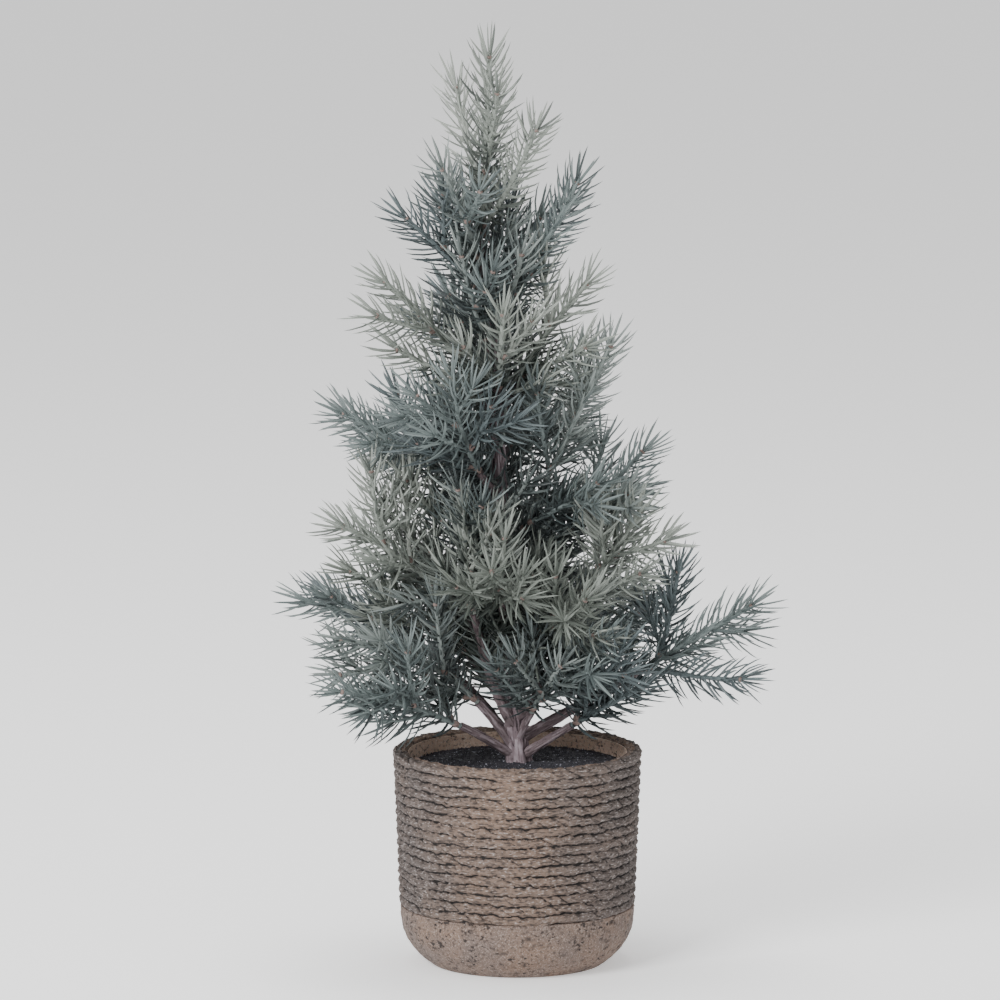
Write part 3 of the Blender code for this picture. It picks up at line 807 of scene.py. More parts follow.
@dataclass
class Skeleton:
    """Points and radii of all wood, and the needled stems, by the rule of the part's source."""

    trunk: Trunk
    wood: list[np.ndarray] = field(default_factory=list)
    wood_radii: list[np.ndarray] = field(default_factory=list)
    bare: list[np.ndarray] = field(default_factory=list)
    stems: list[Stem] = field(default_factory=list)
    clothed: list[Stem] = field(default_factory=list)
    shoots: int = 0

    def grow(self) -> None:
        """Grows the limbs, their main shoots, side shoots and finer twigs."""
        heights = np.arange(self.trunk.foot_z, self.trunk.tip_z, PATH_STEP)
        self.wood.append(np.array([tuple(self.trunk.centre(z)) for z in heights]))
        self.wood_radii.append(np.array([self.trunk.radius(z) for z in heights]))
        for number, limb in enumerate(LIMBS):
            start = self.trunk.centre(limb.height * MM)
            length = (limb.bare + limb.spray) * MM
            path = bent_path(start, limb.azimuth, limb.sweep, limb.rise, limb.bend, length)
            bare = stretch(path, 0, limb.bare * MM, PATH_STEP) if limb.bare else path[:1]
            self.bare.append(bare)
            self.wood.append(bare)
            self.wood_radii.append(self.limb_radii(limb, len(bare)))
            shoot = stretch(path, limb.bare * MM + GAP, length, PATH_STEP)
            self.stems.append(Stem(number, STEM_RADIUS, shoot, spray_of(limb, 0)))
        self.add_side_shoots()
        self.shoots = len(self.stems)
        self.add_finer_twigs()
        self.add_bough_twigs()
        self.add_trunk_twigs()
        self.clothe_boughs()

    def limb_radii(self, limb: Limb, count: int) -> np.ndarray:
        """Radii of a limb's bare stretch, from the trunk to its mass.

        Args:
            limb: The limb.
            count: Number of radii wanted.

        Returns:
            The radii.
        """
        tip = LIMB_TIP_RADIUS if limb.has_bough else STEM_RADIUS
        return np.linspace(tip + LIMB_TAPER * limb.bare * MM, tip, count)

    def branch(self, shoot: np.ndarray, at: int, roll: float, spread: float,
               length: float) -> np.ndarray:
        """Points of a shoot that starts in the middle of another.

        Args:
            shoot: Points of the shoot that carries it.
            at: Index of the point it starts at.
            roll: Its way about the carrying shoot, in degrees.
            spread: Angle between the two, in degrees.
            length: Its length.

        Returns:
            The points, one a row.
        """
        along = Vector(shoot[at + 1] - shoot[at]).normalized()
        level = along.cross(Vector((0, 0, 1))).normalized()
        above = level.cross(along)
        turn = math.radians(roll)
        aside = level * math.cos(turn) + above * math.sin(turn)
        way = along * math.cos(math.radians(spread)) + aside * math.sin(math.radians(spread))
        azimuth = math.degrees(math.atan2(way.y, way.x))
        slope = math.degrees(math.asin(way.z))
        bend = min(SIDE_RISE, STEEPEST - slope)
        return bent_path(Vector(shoot[at]), azimuth, 0, slope, bend, length)

    def add_side_shoots(self) -> None:
        """Grows every limb's side shoots, cut short or skipped where they would touch."""
        chance = random.Random(SEED)
        for number, limb in enumerate(LIMBS):
            shoot = self.stems[number].points
            for index in range(limb.sides):
                share = (limb.until - SIDE_FIRST_AT) * index / max(1, limb.sides - 1)
                at = round((SIDE_FIRST_AT + share) * (len(shoot) - 1))
                scatter = chance.uniform(-ROLL_SCATTER, ROLL_SCATTER)
                roll = limb.roll + index * limb.turn + scatter
                spread = SPREAD + chance.uniform(-SPREAD_SCATTER, SPREAD_SCATTER)
                length = limb.side * MM * (1 - SIDE_SHORTER_BY * index)
                length *= chance.uniform(*SIDE_LENGTH_SCATTER)
                path = self.branch(shoot, at, roll, spread, length)
                free = self.free_points(path)
                if free * PATH_STEP >= SIDE_SHORTEST:
                    radius = STEM_RADIUS * SIDE_STEM_SHARE
                    spray = spray_of(limb, index + 1)
                    self.stems.append(Stem(number, radius, path[:free], spray))

    def add_finer_twigs(self) -> None:
        """Adds short twigs between the side shoots, inside the reach of the stems so far."""
        chance = random.Random(FINE_SEED)
        reach = np.concatenate([stem.points for stem in self.stems])
        for stem in list(self.stems):
            if LIMBS[stem.limb].height > FINE_BELOW:
                continue
            span = len(stem.points) - 1
            count = int(span * PATH_STEP / FINE_SPACING)
            for index in range(count):
                share = (index + chance.random()) / count
                at = round(span * (FINE_FIRST_AT + (FINE_LAST_AT - FINE_FIRST_AT) * share))
                roll = chance.uniform(0, 360)
                length = chance.uniform(*FINE_LENGTHS) * (1 - FINE_SHORTER_BY * at / span)
                path = self.branch(stem.points, min(at, span - 1), roll, SPREAD, length)
                self.add_twig(stem.limb, path, stem.spray, reach)

    def add_bough_twigs(self) -> None:
        """Adds short twigs on the boughs of the upper crown, between the trunk and their masses."""
        chance = random.Random(FINE_SEED)
        for number, limb in enumerate(LIMBS):
            bare = self.bare[number]
            count = int(limb.bare * MM / BOUGH_TWIG_SPACING)
            if limb.height < BARE_BELOW:
                continue
            for index in range(count):
                at = round((index + BOUGH_TWIG_FIRST_AT) / count * (len(bare) - 2))
                roll = chance.uniform(0, 360)
                length = chance.uniform(*FINE_LENGTHS)
                path = self.branch(bare, at, roll, BOUGH_TWIG_SPREAD, length)
                self.add_twig(number, path, spray_of(limb, index))

    def add_trunk_twigs(self) -> None:
        """Adds short twigs on the trunk between the limbs, in one grey."""
        chance = random.Random(FINE_SEED)
        height = TRUNK_TWIG_FROM
        turn = 0.0
        while height < self.trunk.tip_z - FINE_LENGTHS[1]:
            turn += GOLDEN_TURN
            radius = self.trunk.radius(height)
            length = radius + chance.uniform(*FINE_LENGTHS)
            path = bent_path(self.trunk.centre(height), turn, 0, TRUNK_TWIG_RISE, SIDE_RISE, length)
            path = stretch(path, radius, length, PATH_STEP)
            self.add_twig(ON_TRUNK, path, Spray.MIST)
            height += TRUNK_TWIG_SPACING

    def clothe_boughs(self) -> None:
        """Notes the bare stretches inside the crown, which have needles of their own."""
        for number, limb in enumerate(LIMBS):
            bare = self.bare[number][CLOTHED_FROM:]
            bare = bare[bare[:, 2] > CLOTHED_ABOVE]
            if len(bare) > 1:
                self.clothed.append(Stem(number, STEM_RADIUS, bare, spray_of(limb, 0)))

    def add_twig(self, limb: int, path: np.ndarray, spray: Spray,
                 reach: np.ndarray | None = None) -> None:
        """Adds a short twig, cut short where it would touch, or none where little is left.

        Args:
            limb: Its limb's number, or ON_TRUNK.
            path: Its points, uncut.
            spray: Its colour.
            reach: Points that its tip has to stay near, or None.
        """
        path = path[: self.free_points(path)]
        if len(path) * PATH_STEP < FINE_SHORTEST:
            return
        if reach is None or np.linalg.norm(reach - path[-1], axis=1).min() < FINE_REACH:
            self.stems.append(Stem(limb, STEM_RADIUS * FINE_STEM_SHARE, path, spray))

    def free_points(self, path: np.ndarray) -> int:
        """How many points of a side shoot stay clear of all other stems and wood.

        Args:
            path: Points of the shoot.

        Returns:
            The number of points from its start.
        """
        fork = round(FORK_LENGTH / PATH_STEP)
        points = np.concatenate([stem.points for stem in self.stems] + self.wood)
        radii = [np.full(len(stem.points), stem.radius) for stem in self.stems]
        surface = np.concatenate(radii + self.wood_radii)
        for place in range(fork, len(path)):
            room = np.linalg.norm(points - path[place], axis=1) - surface
            if room.min() < STEM_RADIUS + 2 * GAP:
                return place
        return len(path)


# ---------------------------------------------------------------- meshes


def placed(name: str, data: bpy.types.ID) -> bpy.types.Object:
    """Puts a new object in the scene.

    Args:
        name: Its name.
        data: Its mesh, light or camera.

    Returns:
        The object.
    """
    item = bpy.data.objects.new(name, data)
    bpy.context.scene.collection.objects.link(item)
    return item


def add_piece(name: str, mesh: bpy.types.Mesh, material: bpy.types.Material,
              nodes: Iterable[str]) -> bpy.types.Object:
    """Puts a finished mesh in the scene as a piece of the object.

    Args:
        name: The piece's name.
        mesh: Its mesh, in place.
        material: Its finish.
        nodes: The solids that it stands for.

    Returns:
        The piece.
    """
    mesh.name = name
    mesh.materials.clear()
    mesh.materials.append(material)
    mesh.shade_smooth()
    mesh.set_sharp_from_angle(angle=SHARP_ANGLE)
    piece = placed(name, mesh)
    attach(piece, BODY)
    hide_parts(*nodes)
    mesh.calc_loop_triangles()
    LOG.info("%s: %d triangles", name, len(mesh.loop_triangles))
    return piece


def mesh_of(shape: bmesh.types.BMesh) -> bpy.types.Mesh:
    """Turns a bmesh's faces outwards and makes a mesh of it.

    Args:
        shape: The bmesh, which is freed.

    Returns:
        The mesh.
    """
    bmesh.ops.recalc_face_normals(shape, faces=shape.faces)
    mesh = bpy.data.meshes.new("piece")
    shape.to_mesh(mesh)
    shape.free()
    return mesh


def joined(parts: Iterable[bpy.types.Mesh]) -> bpy.types.Mesh:
    """One mesh of several.

    Args:
        parts: The meshes, which are removed.

    Returns:
        The joined mesh.
    """
    shape = bmesh.new()
    for part in parts:
        shape.from_mesh(part)
        bpy.data.meshes.remove(part)
    mesh = bpy.data.meshes.new("piece")
    shape.to_mesh(mesh)
    shape.free()
    return mesh


def frames_along(points: np.ndarray) -> list[Matrix]:
    """A place and turn at each point, with Z along the path and no twist.

    Args:
        points: The path, one point a row.

    Returns:
        One matrix for each point.
    """
    ways = np.gradient(points, axis=0)
    side = Vector((1, 0, 0)) if abs(ways[0][0]) < abs(ways[0][2]) else Vector((0, 0, 1))
    frames = []
    for point, way in zip(points, ways):
        along = Vector(way).normalized()
        side = (side - along * side.dot(along)).normalized()
        turn = Matrix((side, along.cross(side), along)).transposed().to_4x4()
        frames.append(Matrix.Translation(Vector(point)) @ turn)
    return frames


Relief = Callable[[Vector, Vector], tuple[float, float]]


def limb_mesh(points: np.ndarray, radii: Sequence[float], sides: int,
              relief: Relief) -> bpy.types.Mesh:
    """A closed round limb, extruded ring by ring, with its surface moved out by a relief.

    Args:
        points: The limb's line.
        radii: Radius at each point.
        sides: Number of sides.
        relief: Gives extra radius and ridge, 0 to 1, for a place on the surface, in the world
            and as (across, across, length along the limb).

    Returns:
        The mesh, with its ridges as an attribute.
    """
    shape = bmesh.new()
    ridges = shape.verts.layers.float.new("ridge")
    frames = frames_along(points)
    ring = bmesh.ops.create_circle(shape, cap_ends=False, segments=sides, radius=1)["verts"]
    edges = list(shape.edges)
    bmesh.ops.contextual_create(shape, geom=edges)
    units = [vert.co.copy() for vert in ring]
    along = 0.0
    for index, (place, radius) in enumerate(zip(frames, radii)):
        if index:
            made = bmesh.ops.extrude_edge_only(shape, edges=edges)["geom"]
            ring = [item for item in made if isinstance(item, bmesh.types.BMVert)]
            edges = [item for item in made if isinstance(item, bmesh.types.BMEdge)]
            along += float(np.linalg.norm(points[index] - points[index - 1]))
        for vert, unit in zip(ring, units):
            local = Vector((unit.x * radius, unit.y * radius, along))
            extra, vert[ridges] = relief(place @ (unit * radius), local)
            vert.co = place @ (unit * (radius + extra))
    bmesh.ops.contextual_create(shape, geom=edges)
    return mesh_of(shape)


@dataclass(frozen=True)
class Bark:
    """Relief of the bark: long ridges, fine grain, and a swelling where a limb starts."""

    ridge: float = 0.45 * MM
    ridge_size: float = 1.15 * MM
    ridge_stretch: float = 0.07
    grain: float = 0.14 * MM
    grain_size: float = 0.9 * MM
    collar: float = 0.5 * MM
    collar_length: float = 5 * MM

    def surface(self, place: Vector, local: Vector) -> tuple[float, float]:
        """Extra radius and ridge at a place on the bark.

        Args:
            place: The place, in the world.
            local: The place as (across, across, length along the limb).

        Returns:
            The extra radius, in metres, and the ridge, from 0 to 1.
        """
        stretched = Vector((local.x, local.y, local.z * self.ridge_stretch)) / self.ridge_size
        ridge = min(1.0, abs(noise.noise(stretched + place * 20)) * 3)
        grain = noise.noise(place / self.grain_size)
        collar = math.exp(-((local.z / self.collar_length) ** 2))
        height = self.ridge * (ridge - 0.4) + self.grain * grain + self.collar * collar
        return height, min(1.0, max(0.0, ridge + 0.4 * grain))


@dataclass
class Wood:
    """Trunk, boughs, twigs and the scales at the foot of each shoot."""

    skeleton: Skeleton
    bark: Bark = Bark()
    trunk_sides: int = 72
    bough_sides: int = 28
    twig_sides: int = 8
    ring_step: float = 1.3 * MM
    twig_step: float = 2 * MM
    trunk_ribs: int = 5
    rib_depth: float = 0.17
    rib_height: float = 20 * MM
    swell: float = 0.6 * MM
    swell_above: float = 2 * MM
    swell_height: float = 3.5 * MM
    swell_reach: float = 2.5
    twig_tip_share: float = 0.72
    twig_grain: float = 0.16 * MM
    scale_length: float = 3.2 * MM
    scale_step: float = 0.8 * MM
    scale_swell: float = 0.5 * MM
    scale_grain_size: float = 0.6 * MM
    bud_length: float = 1.5 * MM
    bud_start: float = -0.2
    bud_radii: tuple[float, ...] = (0.9 * MM, 1.2 * MM, 0.8 * MM, 0.2 * MM)
    # Painted shade on the boughs inside the crown: their pale ridges fade between these heights.
    shade_heights: tuple[float, float] = (126 * MM, 142 * MM)
    shade_shares: tuple[float, float] = (1.0, 0.3)

    def build(self) -> None:
        """Builds every piece of wood."""
        self.build_trunk()
        self.build_boughs()
        self.build_twigs()
        self.build_scales()

    def build_trunk(self) -> None:
        """The trunk, ribbed at its foot, with bark ridges and a swelling under each limb."""
        trunk = self.skeleton.trunk
        heights = np.arange(trunk.foot_z, trunk.tip_z, self.ring_step)
        points = np.array([tuple(trunk.centre(z)) for z in heights])
        collars = [(limb.height * MM, math.radians(limb.azimuth)) for limb in LIMBS]

        def relief(place: Vector, local: Vector) -> tuple[float, float]:
            """Ribs, a swelling under each limb, and the bark.

            Args:
                place: The place, in the world.
                local: The place as (across, across, length along the trunk).

            Returns:
                The extra radius and the ridge.
            """
            out = place - trunk.centre(place.z)
            angle = math.atan2(out.y, out.x)
            fade = math.exp((trunk.foot_z - place.z) / self.rib_height)
            rib = self.rib_depth * math.cos(self.trunk_ribs * angle) * fade
            swell = 0.0
            for height, azimuth in collars:
                off = (place.z - height - self.swell_above) / self.swell_height
                if abs(off) < self.swell_reach:
                    facing = max(0.0, math.cos(angle - azimuth))
                    swell += self.swell * math.exp(-off * off) * facing**2
            # A metre further along, the bark has no collar
            far = Vector((local.x, local.y, local.z + 1.0))
            height, ridge = self.bark.surface(place, far)
            return trunk.radius(place.z) * rib + swell + height, ridge

        radii = [trunk.radius(z) for z in heights]
        mesh = limb_mesh(points, radii, self.trunk_sides, relief)
        for vert in mesh.vertices:
            vert.co.z = max(vert.co.z, trunk.foot_z)
        add_piece("trunk_bark", mesh, TRUNK_BARK.material(), ["trunk"])

    def build_boughs(self) -> None:
        """The bare stretch of each limb, out of the trunk, with painted shade inside the crown,
        where its pale ridges fade.
        """

        def relief(place: Vector, local: Vector) -> tuple[float, float]:
            """The bark, with its ridge faded by height for painted shade inside the crown."""
            height, ridge = self.bark.surface(place, local)
            return height, ridge * np.interp(place.z, self.shade_heights, self.shade_shares)

        parts = []
        for limb, bare in zip(LIMBS, self.skeleton.bare):
            if limb.bare:
                points = stretch(bare, 0, math.inf, self.ring_step)
                radii = self.skeleton.limb_radii(limb, len(points))
                parts.append(limb_mesh(points, radii, self.bough_sides, relief))
        nodes = [f"{limb.name}_bough" for limb in LIMBS if limb.has_bough]
        add_piece("bough_bark", joined(parts), SHADED_BOUGH_BARK.material(), nodes)

    def build_twigs(self) -> None:
        """The needled stems, one piece for each colour."""

        def relief(place: Vector, _local: Vector) -> tuple[float, float]:
            """A fine grain."""
            grain = noise.noise(place / self.bark.grain_size)
            return self.twig_grain * grain, 0.5 + 0.5 * grain

        for spray in Spray:
            parts = []
            for stem in self.skeleton.stems:
                if stem.spray is spray:
                    points = stretch(stem.points, 0, math.inf, self.twig_step)
                    radii = np.linspace(stem.radius, stem.radius * self.twig_tip_share, len(points))
                    parts.append(limb_mesh(points, radii, self.twig_sides, relief))
            # Twigs take their spray's paler, painted-light needle colour, with the middle one as
            # painted shade in their furrows.
            _inner, middle, outer = PAINTED_SHADE_NEEDLE_COLOURS[spray]
            twig = BarkFinish(f"twigs_{spray.value}", outer, outer, middle)
            add_piece(f"twigs_{spray.value}", joined(parts), twig.material(), [])

    def build_scales(self) -> None:
        """The tan scales that ring the foot of each shoot, and the bud at its tip."""

        def relief(place: Vector, local: Vector) -> tuple[float, float]:
            """A fine grain on a swelling as long as a scale.

            Args:
                place: The place, in the world.
                local: The place as (across, across, length along the stem).

            Returns:
                The extra radius and the ridge.
            """
            swell = math.sin(math.pi * min(1.0, local.z / self.scale_length))
            grain = noise.noise(place / self.scale_grain_size)
            return self.scale_swell * swell + self.twig_grain * grain, 0.5 + 0.5 * grain

        parts = []
        for stem in self.skeleton.stems[: self.skeleton.shoots]:
            start = 0 if len(parts) < len(LIMBS) else stem.radius
            points = stretch(stem.points, start, start + self.scale_length, self.scale_step)
            radii = np.full(len(points), stem.radius)
            parts.append(limb_mesh(points, radii, self.twig_sides, relief))
            ahead = stem.points[-1] - stem.points[-2]
            ahead *= self.bud_length / np.linalg.norm(ahead)
            places = np.linspace(self.bud_start, 1, len(self.bud_radii))
            points = stem.points[-1] + ahead * places[:, None]
            parts.append(limb_mesh(points, self.bud_radii, self.twig_sides, relief))
        add_piece("bud_scales", joined(parts), SCALE_BARK.material(), [])


@dataclass(frozen=True)
class NeedleShape:
    """A flat, pointed, curved needle."""

    length: float = 19 * MM
    half_width: float = 0.66 * MM
    half_thickness: float = 0.42 * MM
    sides: int = 4
    stations: tuple[float, ...] = (0.2, 0.5, 0.8)
    girths: tuple[float, ...] = (0.7, 1.0, 1.0, 0.72, 0.0)

    def template(self) -> tuple[np.ndarray, np.ndarray]:
        """A straight needle of unit length and width.

        Returns:
            Its points (across, through, along) and its triangles.
        """
        shape = bmesh.new()
        bmesh.ops.create_cone(shape, cap_ends=True, segments=self.sides, radius1=1, radius2=0,
                              depth=1, matrix=Matrix.Translation((0, 0, 0.5)))
        for station in self.stations:
            geometry = [*shape.verts, *shape.edges, *shape.faces]
            bmesh.ops.bisect_plane(shape, geom=geometry, plane_co=(0, 0, station),
                                   plane_no=(0, 0, 1))
        places = (0.0, *self.stations, 1.0)
        for vert in shape.verts:
            girth = float(np.interp(vert.co.z, places, self.girths))
            flat = Vector((vert.co.x, vert.co.y))
            if flat.length > 0:
                flat *= girth / flat.length
            vert.co.xy = flat
        bmesh.ops.recalc_face_normals(shape, faces=shape.faces)
        bmesh.ops.triangulate(shape, faces=shape.faces)
        shape.verts.index_update()
        points = np.array([tuple(vert.co) for vert in shape.verts])
        faces = np.array([[vert.index for vert in face.verts] for face in shape.faces])
        shape.free()
        return points, faces


class NeedleSet(NamedTuple):
    """Where and how a stem's needles stand, one needle a row."""

    foot: np.ndarray
    along: np.ndarray
    out: np.ndarray
    lean_foot: np.ndarray
    lean_tip: np.ndarray
    length: np.ndarray
    twist: np.ndarray
    tone: np.ndarray


@dataclass
class Foliage:
    """All needles, joined into one piece for each colour and each level of painted shade and light.
    """

    skeleton: Skeleton
    shape: NeedleShape = NeedleShape()
    seed: int = 7
    per_metre: float = 1200
    first_at: float = 0.02
    lean_foot: tuple[float, float] = (66, 50)
    lean_tip: tuple[float, float] = (34, 24)
    turn_scatter: float = 9
    foot_scatter: float = 6
    tip_scatter: float = 7
    twist_scatter: float = 38
    tuft: int = 5
    tuft_lean: tuple[float, float] = (16, 42)
    tuft_bend: tuple[float, float] = (0.3, 0.8)
    length_scatter: tuple[float, float] = (0.84, 1.08)
    short_until: float = 0.12
    shortest: float = 0.8
    # Painted shade and light: needles are painted darker nearer the trunk, paler towards the
    # crown's outside and when they point up, and darker or paler by height.
    crown_top: float = 440 * MM
    crown_slope: float = 0.27
    crown_margin: float = 8 * MM
    painted_shade_at_core: float = 0.15
    painted_light_outside: float = 0.85
    painted_light_upward: float = 0.15
    touch_shares: tuple[float, ...] = (0.4, 0.7, 1.0)
    pot_gap: float = 1 * MM
    inside_gap: float = 2 * MM
    painted_shade_bounds: tuple[float, float] = (0.36, 0.64)
    painted_light_heights: tuple[float, ...] = (120 * MM, 300 * MM, 380 * MM)
    painted_light_shares: tuple[float, ...] = (0.8, 1.08, 0.9)
    mottle: float = 0.24

    def build(self) -> None:
        """Places the needles of every stem and makes the pieces."""
        chance = np.random.default_rng(self.seed)
        template, faces = self.shape.template()
        for spray in Spray:
            skeleton = self.skeleton
            stems = [stem for stem in skeleton.stems + skeleton.clothed if stem.spray is spray]
            sets = [self.stem_needles(stem, chance) for stem in stems]
            needles = NeedleSet(*(np.concatenate(column) for column in zip(*sets)))
            # Each needle takes the darker, middle or paler copy of its colour by its painted shade
            # and light.
            group = np.digitize(needles.tone, self.painted_shade_bounds)
            nodes = [f"{limb.name}_mass" for limb in LIMBS if SPRAYS_OF[limb.tint][0] is spray]
            for number, depth in enumerate(PAINTED_SHADE_DEPTHS):
                chosen = NeedleSet(*(column[group == number] for column in needles))
                mesh = self.needle_mesh(chosen, template, faces)
                name = f"needles_{spray.value}_{depth}"
                finish = NeedleFinish(name, PAINTED_SHADE_NEEDLE_COLOURS[spray][number])
                add_piece(name, mesh, finish.material(), nodes)

    def stem_needles(self, stem: Stem, chance: np.random.Generator) -> NeedleSet:
        """Needles all round one stem, with a tuft at its tip.

        Args:
            stem: The stem.
            chance: Source of the needles' small differences.

        Returns:
            The needles that stand clear of wood and pot.
        """
        lengths = lengths_along(stem.points)
        count = int(lengths[-1] * self.per_metre)
        places = np.linspace(self.first_at, 1, count) * lengths[-1]
        places = np.concatenate([places, np.full(self.tuft, lengths[-1])])
        total = len(places)
        share = places / lengths[-1]
        foot = sampled(stem.points, lengths, places)
        along = sampled(np.gradient(stem.points, axis=0), lengths, places)
        along /= np.linalg.norm(along, axis=1)[:, None]
        level = np.cross(along, [0.0, 0.0, 1.0])
        level /= np.linalg.norm(level, axis=1)[:, None] + 1e-9
        above = np.cross(level, along)
        turn = np.arange(total) * GOLDEN_TURN + chance.normal(0, self.turn_scatter, total)
        turn = np.radians(turn)
        out = level * np.cos(turn)[:, None] + above * np.sin(turn)[:, None]
        lean_foot = np.interp(share, (0, 1), self.lean_foot)
        lean_foot += chance.normal(0, self.foot_scatter, total)
        lean_tip = np.interp(share, (0, 1), self.lean_tip)
        lean_tip += chance.normal(0, self.tip_scatter, total)
        lean_foot[count:] = chance.uniform(*self.tuft_lean, self.tuft)
        lean_tip[count:] = lean_foot[count:] * chance.uniform(*self.tuft_bend, self.tuft)
        length = self.shape.length * chance.uniform(*self.length_scatter, total)
        length *= np.interp(share, (0, self.short_until), (self.shortest, 1))
        needles = NeedleSet(
            foot,
            along,
            out,
            np.radians(lean_foot),
            np.radians(lean_tip),
            length,
            np.radians(chance.normal(0, self.twist_scatter, total)),
            self.tone(foot, out[:, 2], chance),
        )
        free = self.clear_needles(needles)
        return NeedleSet(*(column[free] for column in needles))

    def tone(self, foot: np.ndarray, upward: np.ndarray,
             chance: np.random.Generator) -> np.ndarray:
        """How pale each needle is painted: painted shade deep inside the crown, under a stem, low
        down and near the top, painted light outside and on top, and a random mottle.

        Args:
            foot: Where the needles start.
            upward: How far up each one points from its stem, -1 to 1.
            chance: Source of the small differences.

        Returns:
            The tones.
        """
        axis = np.array([tuple(self.skeleton.trunk.centre(z)) for z in foot[:, 2]])
        depth = np.linalg.norm(foot[:, :2] - axis[:, :2], axis=1)
        reach = (self.crown_top - foot[:, 2]) * self.crown_slope + self.crown_margin
        # Painted shade inside the crown: the nearer the trunk, the darker.
        outside = self.painted_shade_at_core + (1 - self.painted_shade_at_core) * depth / reach
        outside = np.clip(outside, 0, self.painted_light_outside)
        # Painted shade and light by height: darker low down and near the top.
        outside *= np.interp(foot[:, 2], self.painted_light_heights, self.painted_light_shares)
        mottle = chance.uniform(-self.mottle, self.mottle, len(foot))
        # Painted light on needles that point up and painted shade on those that point down, plus a
        # random mottle.
        return outside + self.painted_light_upward * upward + mottle

    def clear_needles(self, needles: NeedleSet) -> np.ndarray:
        """Which needles stay clear of the bare wood and of the pot and its filling.

        Args:
            needles: The needles.

        Returns:
            True for each one that stays clear.
        """
        wood = np.concatenate(self.skeleton.wood)
        radii = np.concatenate(self.skeleton.wood_radii)
        free = np.ones(len(needles.foot), dtype=bool)
        for share in self.touch_shares:
            place = self.middle_line(needles, share)
            room = np.linalg.norm(place[:, None] - wood, axis=2) - radii
            free &= room.min(axis=1) > self.shape.half_width
            radius = np.hypot(place[:, 0], place[:, 1])
            over = place[:, 2] > POT_HEIGHT + self.pot_gap
            inside = radius < POT_INNER_RADIUS - self.inside_gap
            inside &= place[:, 2] > SOIL_TOP_Z + self.pot_gap
            free &= over | inside | (radius > POT_RIM_RADIUS + self.pot_gap)
        return free

    def middle_line(self, needles: NeedleSet, share: float) -> np.ndarray:
        """Middle of each needle at a share of its length.

        Args:
            needles: The needles.
            share: 0 for the foot, 1 for the tip.

        Returns:
            The places, one a row.
        """
        change = needles.lean_tip - needles.lean_foot
        lean = needles.lean_foot + change * share
        forth = (np.sin(lean) - np.sin(needles.lean_foot)) / change * needles.length
        aside = (np.cos(needles.lean_foot) - np.cos(lean)) / change * needles.length
        return needles.foot + forth[:, None] * needles.along + aside[:, None] * needles.out

    def needle_mesh(self, needles: NeedleSet, template: np.ndarray,
                    faces: np.ndarray) -> bpy.types.Mesh:
        """One mesh of many needles, bent along their own arcs.

        Args:
            needles: Where and how they stand.
            template: Points of a straight needle of unit size.
            faces: Its triangles.

        Returns:
            The mesh.
        """
        side = np.cross(needles.along, needles.out)
        across, through = np.cos(needles.twist), np.sin(needles.twist)
        rows = []
        for x, y, share in template:
            lean = needles.lean_foot + (needles.lean_tip - needles.lean_foot) * share
            inward = np.sin(lean)[:, None] * needles.along - np.cos(lean)[:, None] * needles.out
            flat = across[:, None] * side + through[:, None] * inward
            thick = across[:, None] * inward - through[:, None] * side
            middle = self.middle_line(needles, share)
            offset = x * self.shape.half_width * flat + y * self.shape.half_thickness * thick
            rows.append(middle + offset)
        points = np.stack(rows, axis=1)
        count, each = points.shape[:2]
        triangles = (faces[None] + (np.arange(count) * each)[:, None, None]).reshape(-1, 3)
        mesh = bpy.data.meshes.new("needles")
        mesh.vertices.add(count * each)
        mesh.vertices.foreach_set("co", points.reshape(-1).astype(np.float32))
        mesh.loops.add(triangles.size)
        mesh.loops.foreach_set("vertex_index", triangles.reshape(-1).astype(np.int32))
        mesh.polygons.add(len(triangles))
        mesh.polygons.foreach_set("loop_start", np.arange(0, triangles.size, 3, dtype=np.int32))
        mesh.update(calc_edges=True)
        LOG.info("%d needles", count)
        return mesh


# ---------------------------------------------------------------- pot and filling


@dataclass(frozen=True)
class Grain:
    """Roughness of a cast surface: two layers of noise, by their waves in a metre."""

    coarse: float
    fine: float
    share: float = 0.6

    def at(self, place: Vector) -> float:
        """The roughness at a place, about -1 to 1."""
        return noise.noise(place * self.coarse) + self.share * noise.noise(place * self.fine)


INSIDE_GRAIN = Grain(300, 900)


def outward(place: Vector) -> Vector:
    """Level unit vector from the axis towards a place."""
    return Vector((place.x, place.y, 0)).normalized()


def spun(profile: Sequence[tuple[float, float]], steps: int) -> bmesh.types.BMesh:
    """A surface turned about Z from (radius, z) points.

    Args:
        profile: The half section.
        steps: Number of steps round.

    Returns:
        The bmesh, closed round the axis.
    """
    shape = bmesh.new()
    points = [shape.verts.new((radius, 0, z)) for radius, z in profile]
    edges = [shape.edges.new(pair) for pair in zip(points, points[1:])]
    bmesh.ops.spin(shape, geom=points + edges, cent=(0, 0, 0), axis=(0, 0, 1),
                   angle=math.tau, steps=steps, use_merge=True)
    bmesh.ops.remove_doubles(shape, verts=shape.verts, dist=0.01 * MM)
    return shape


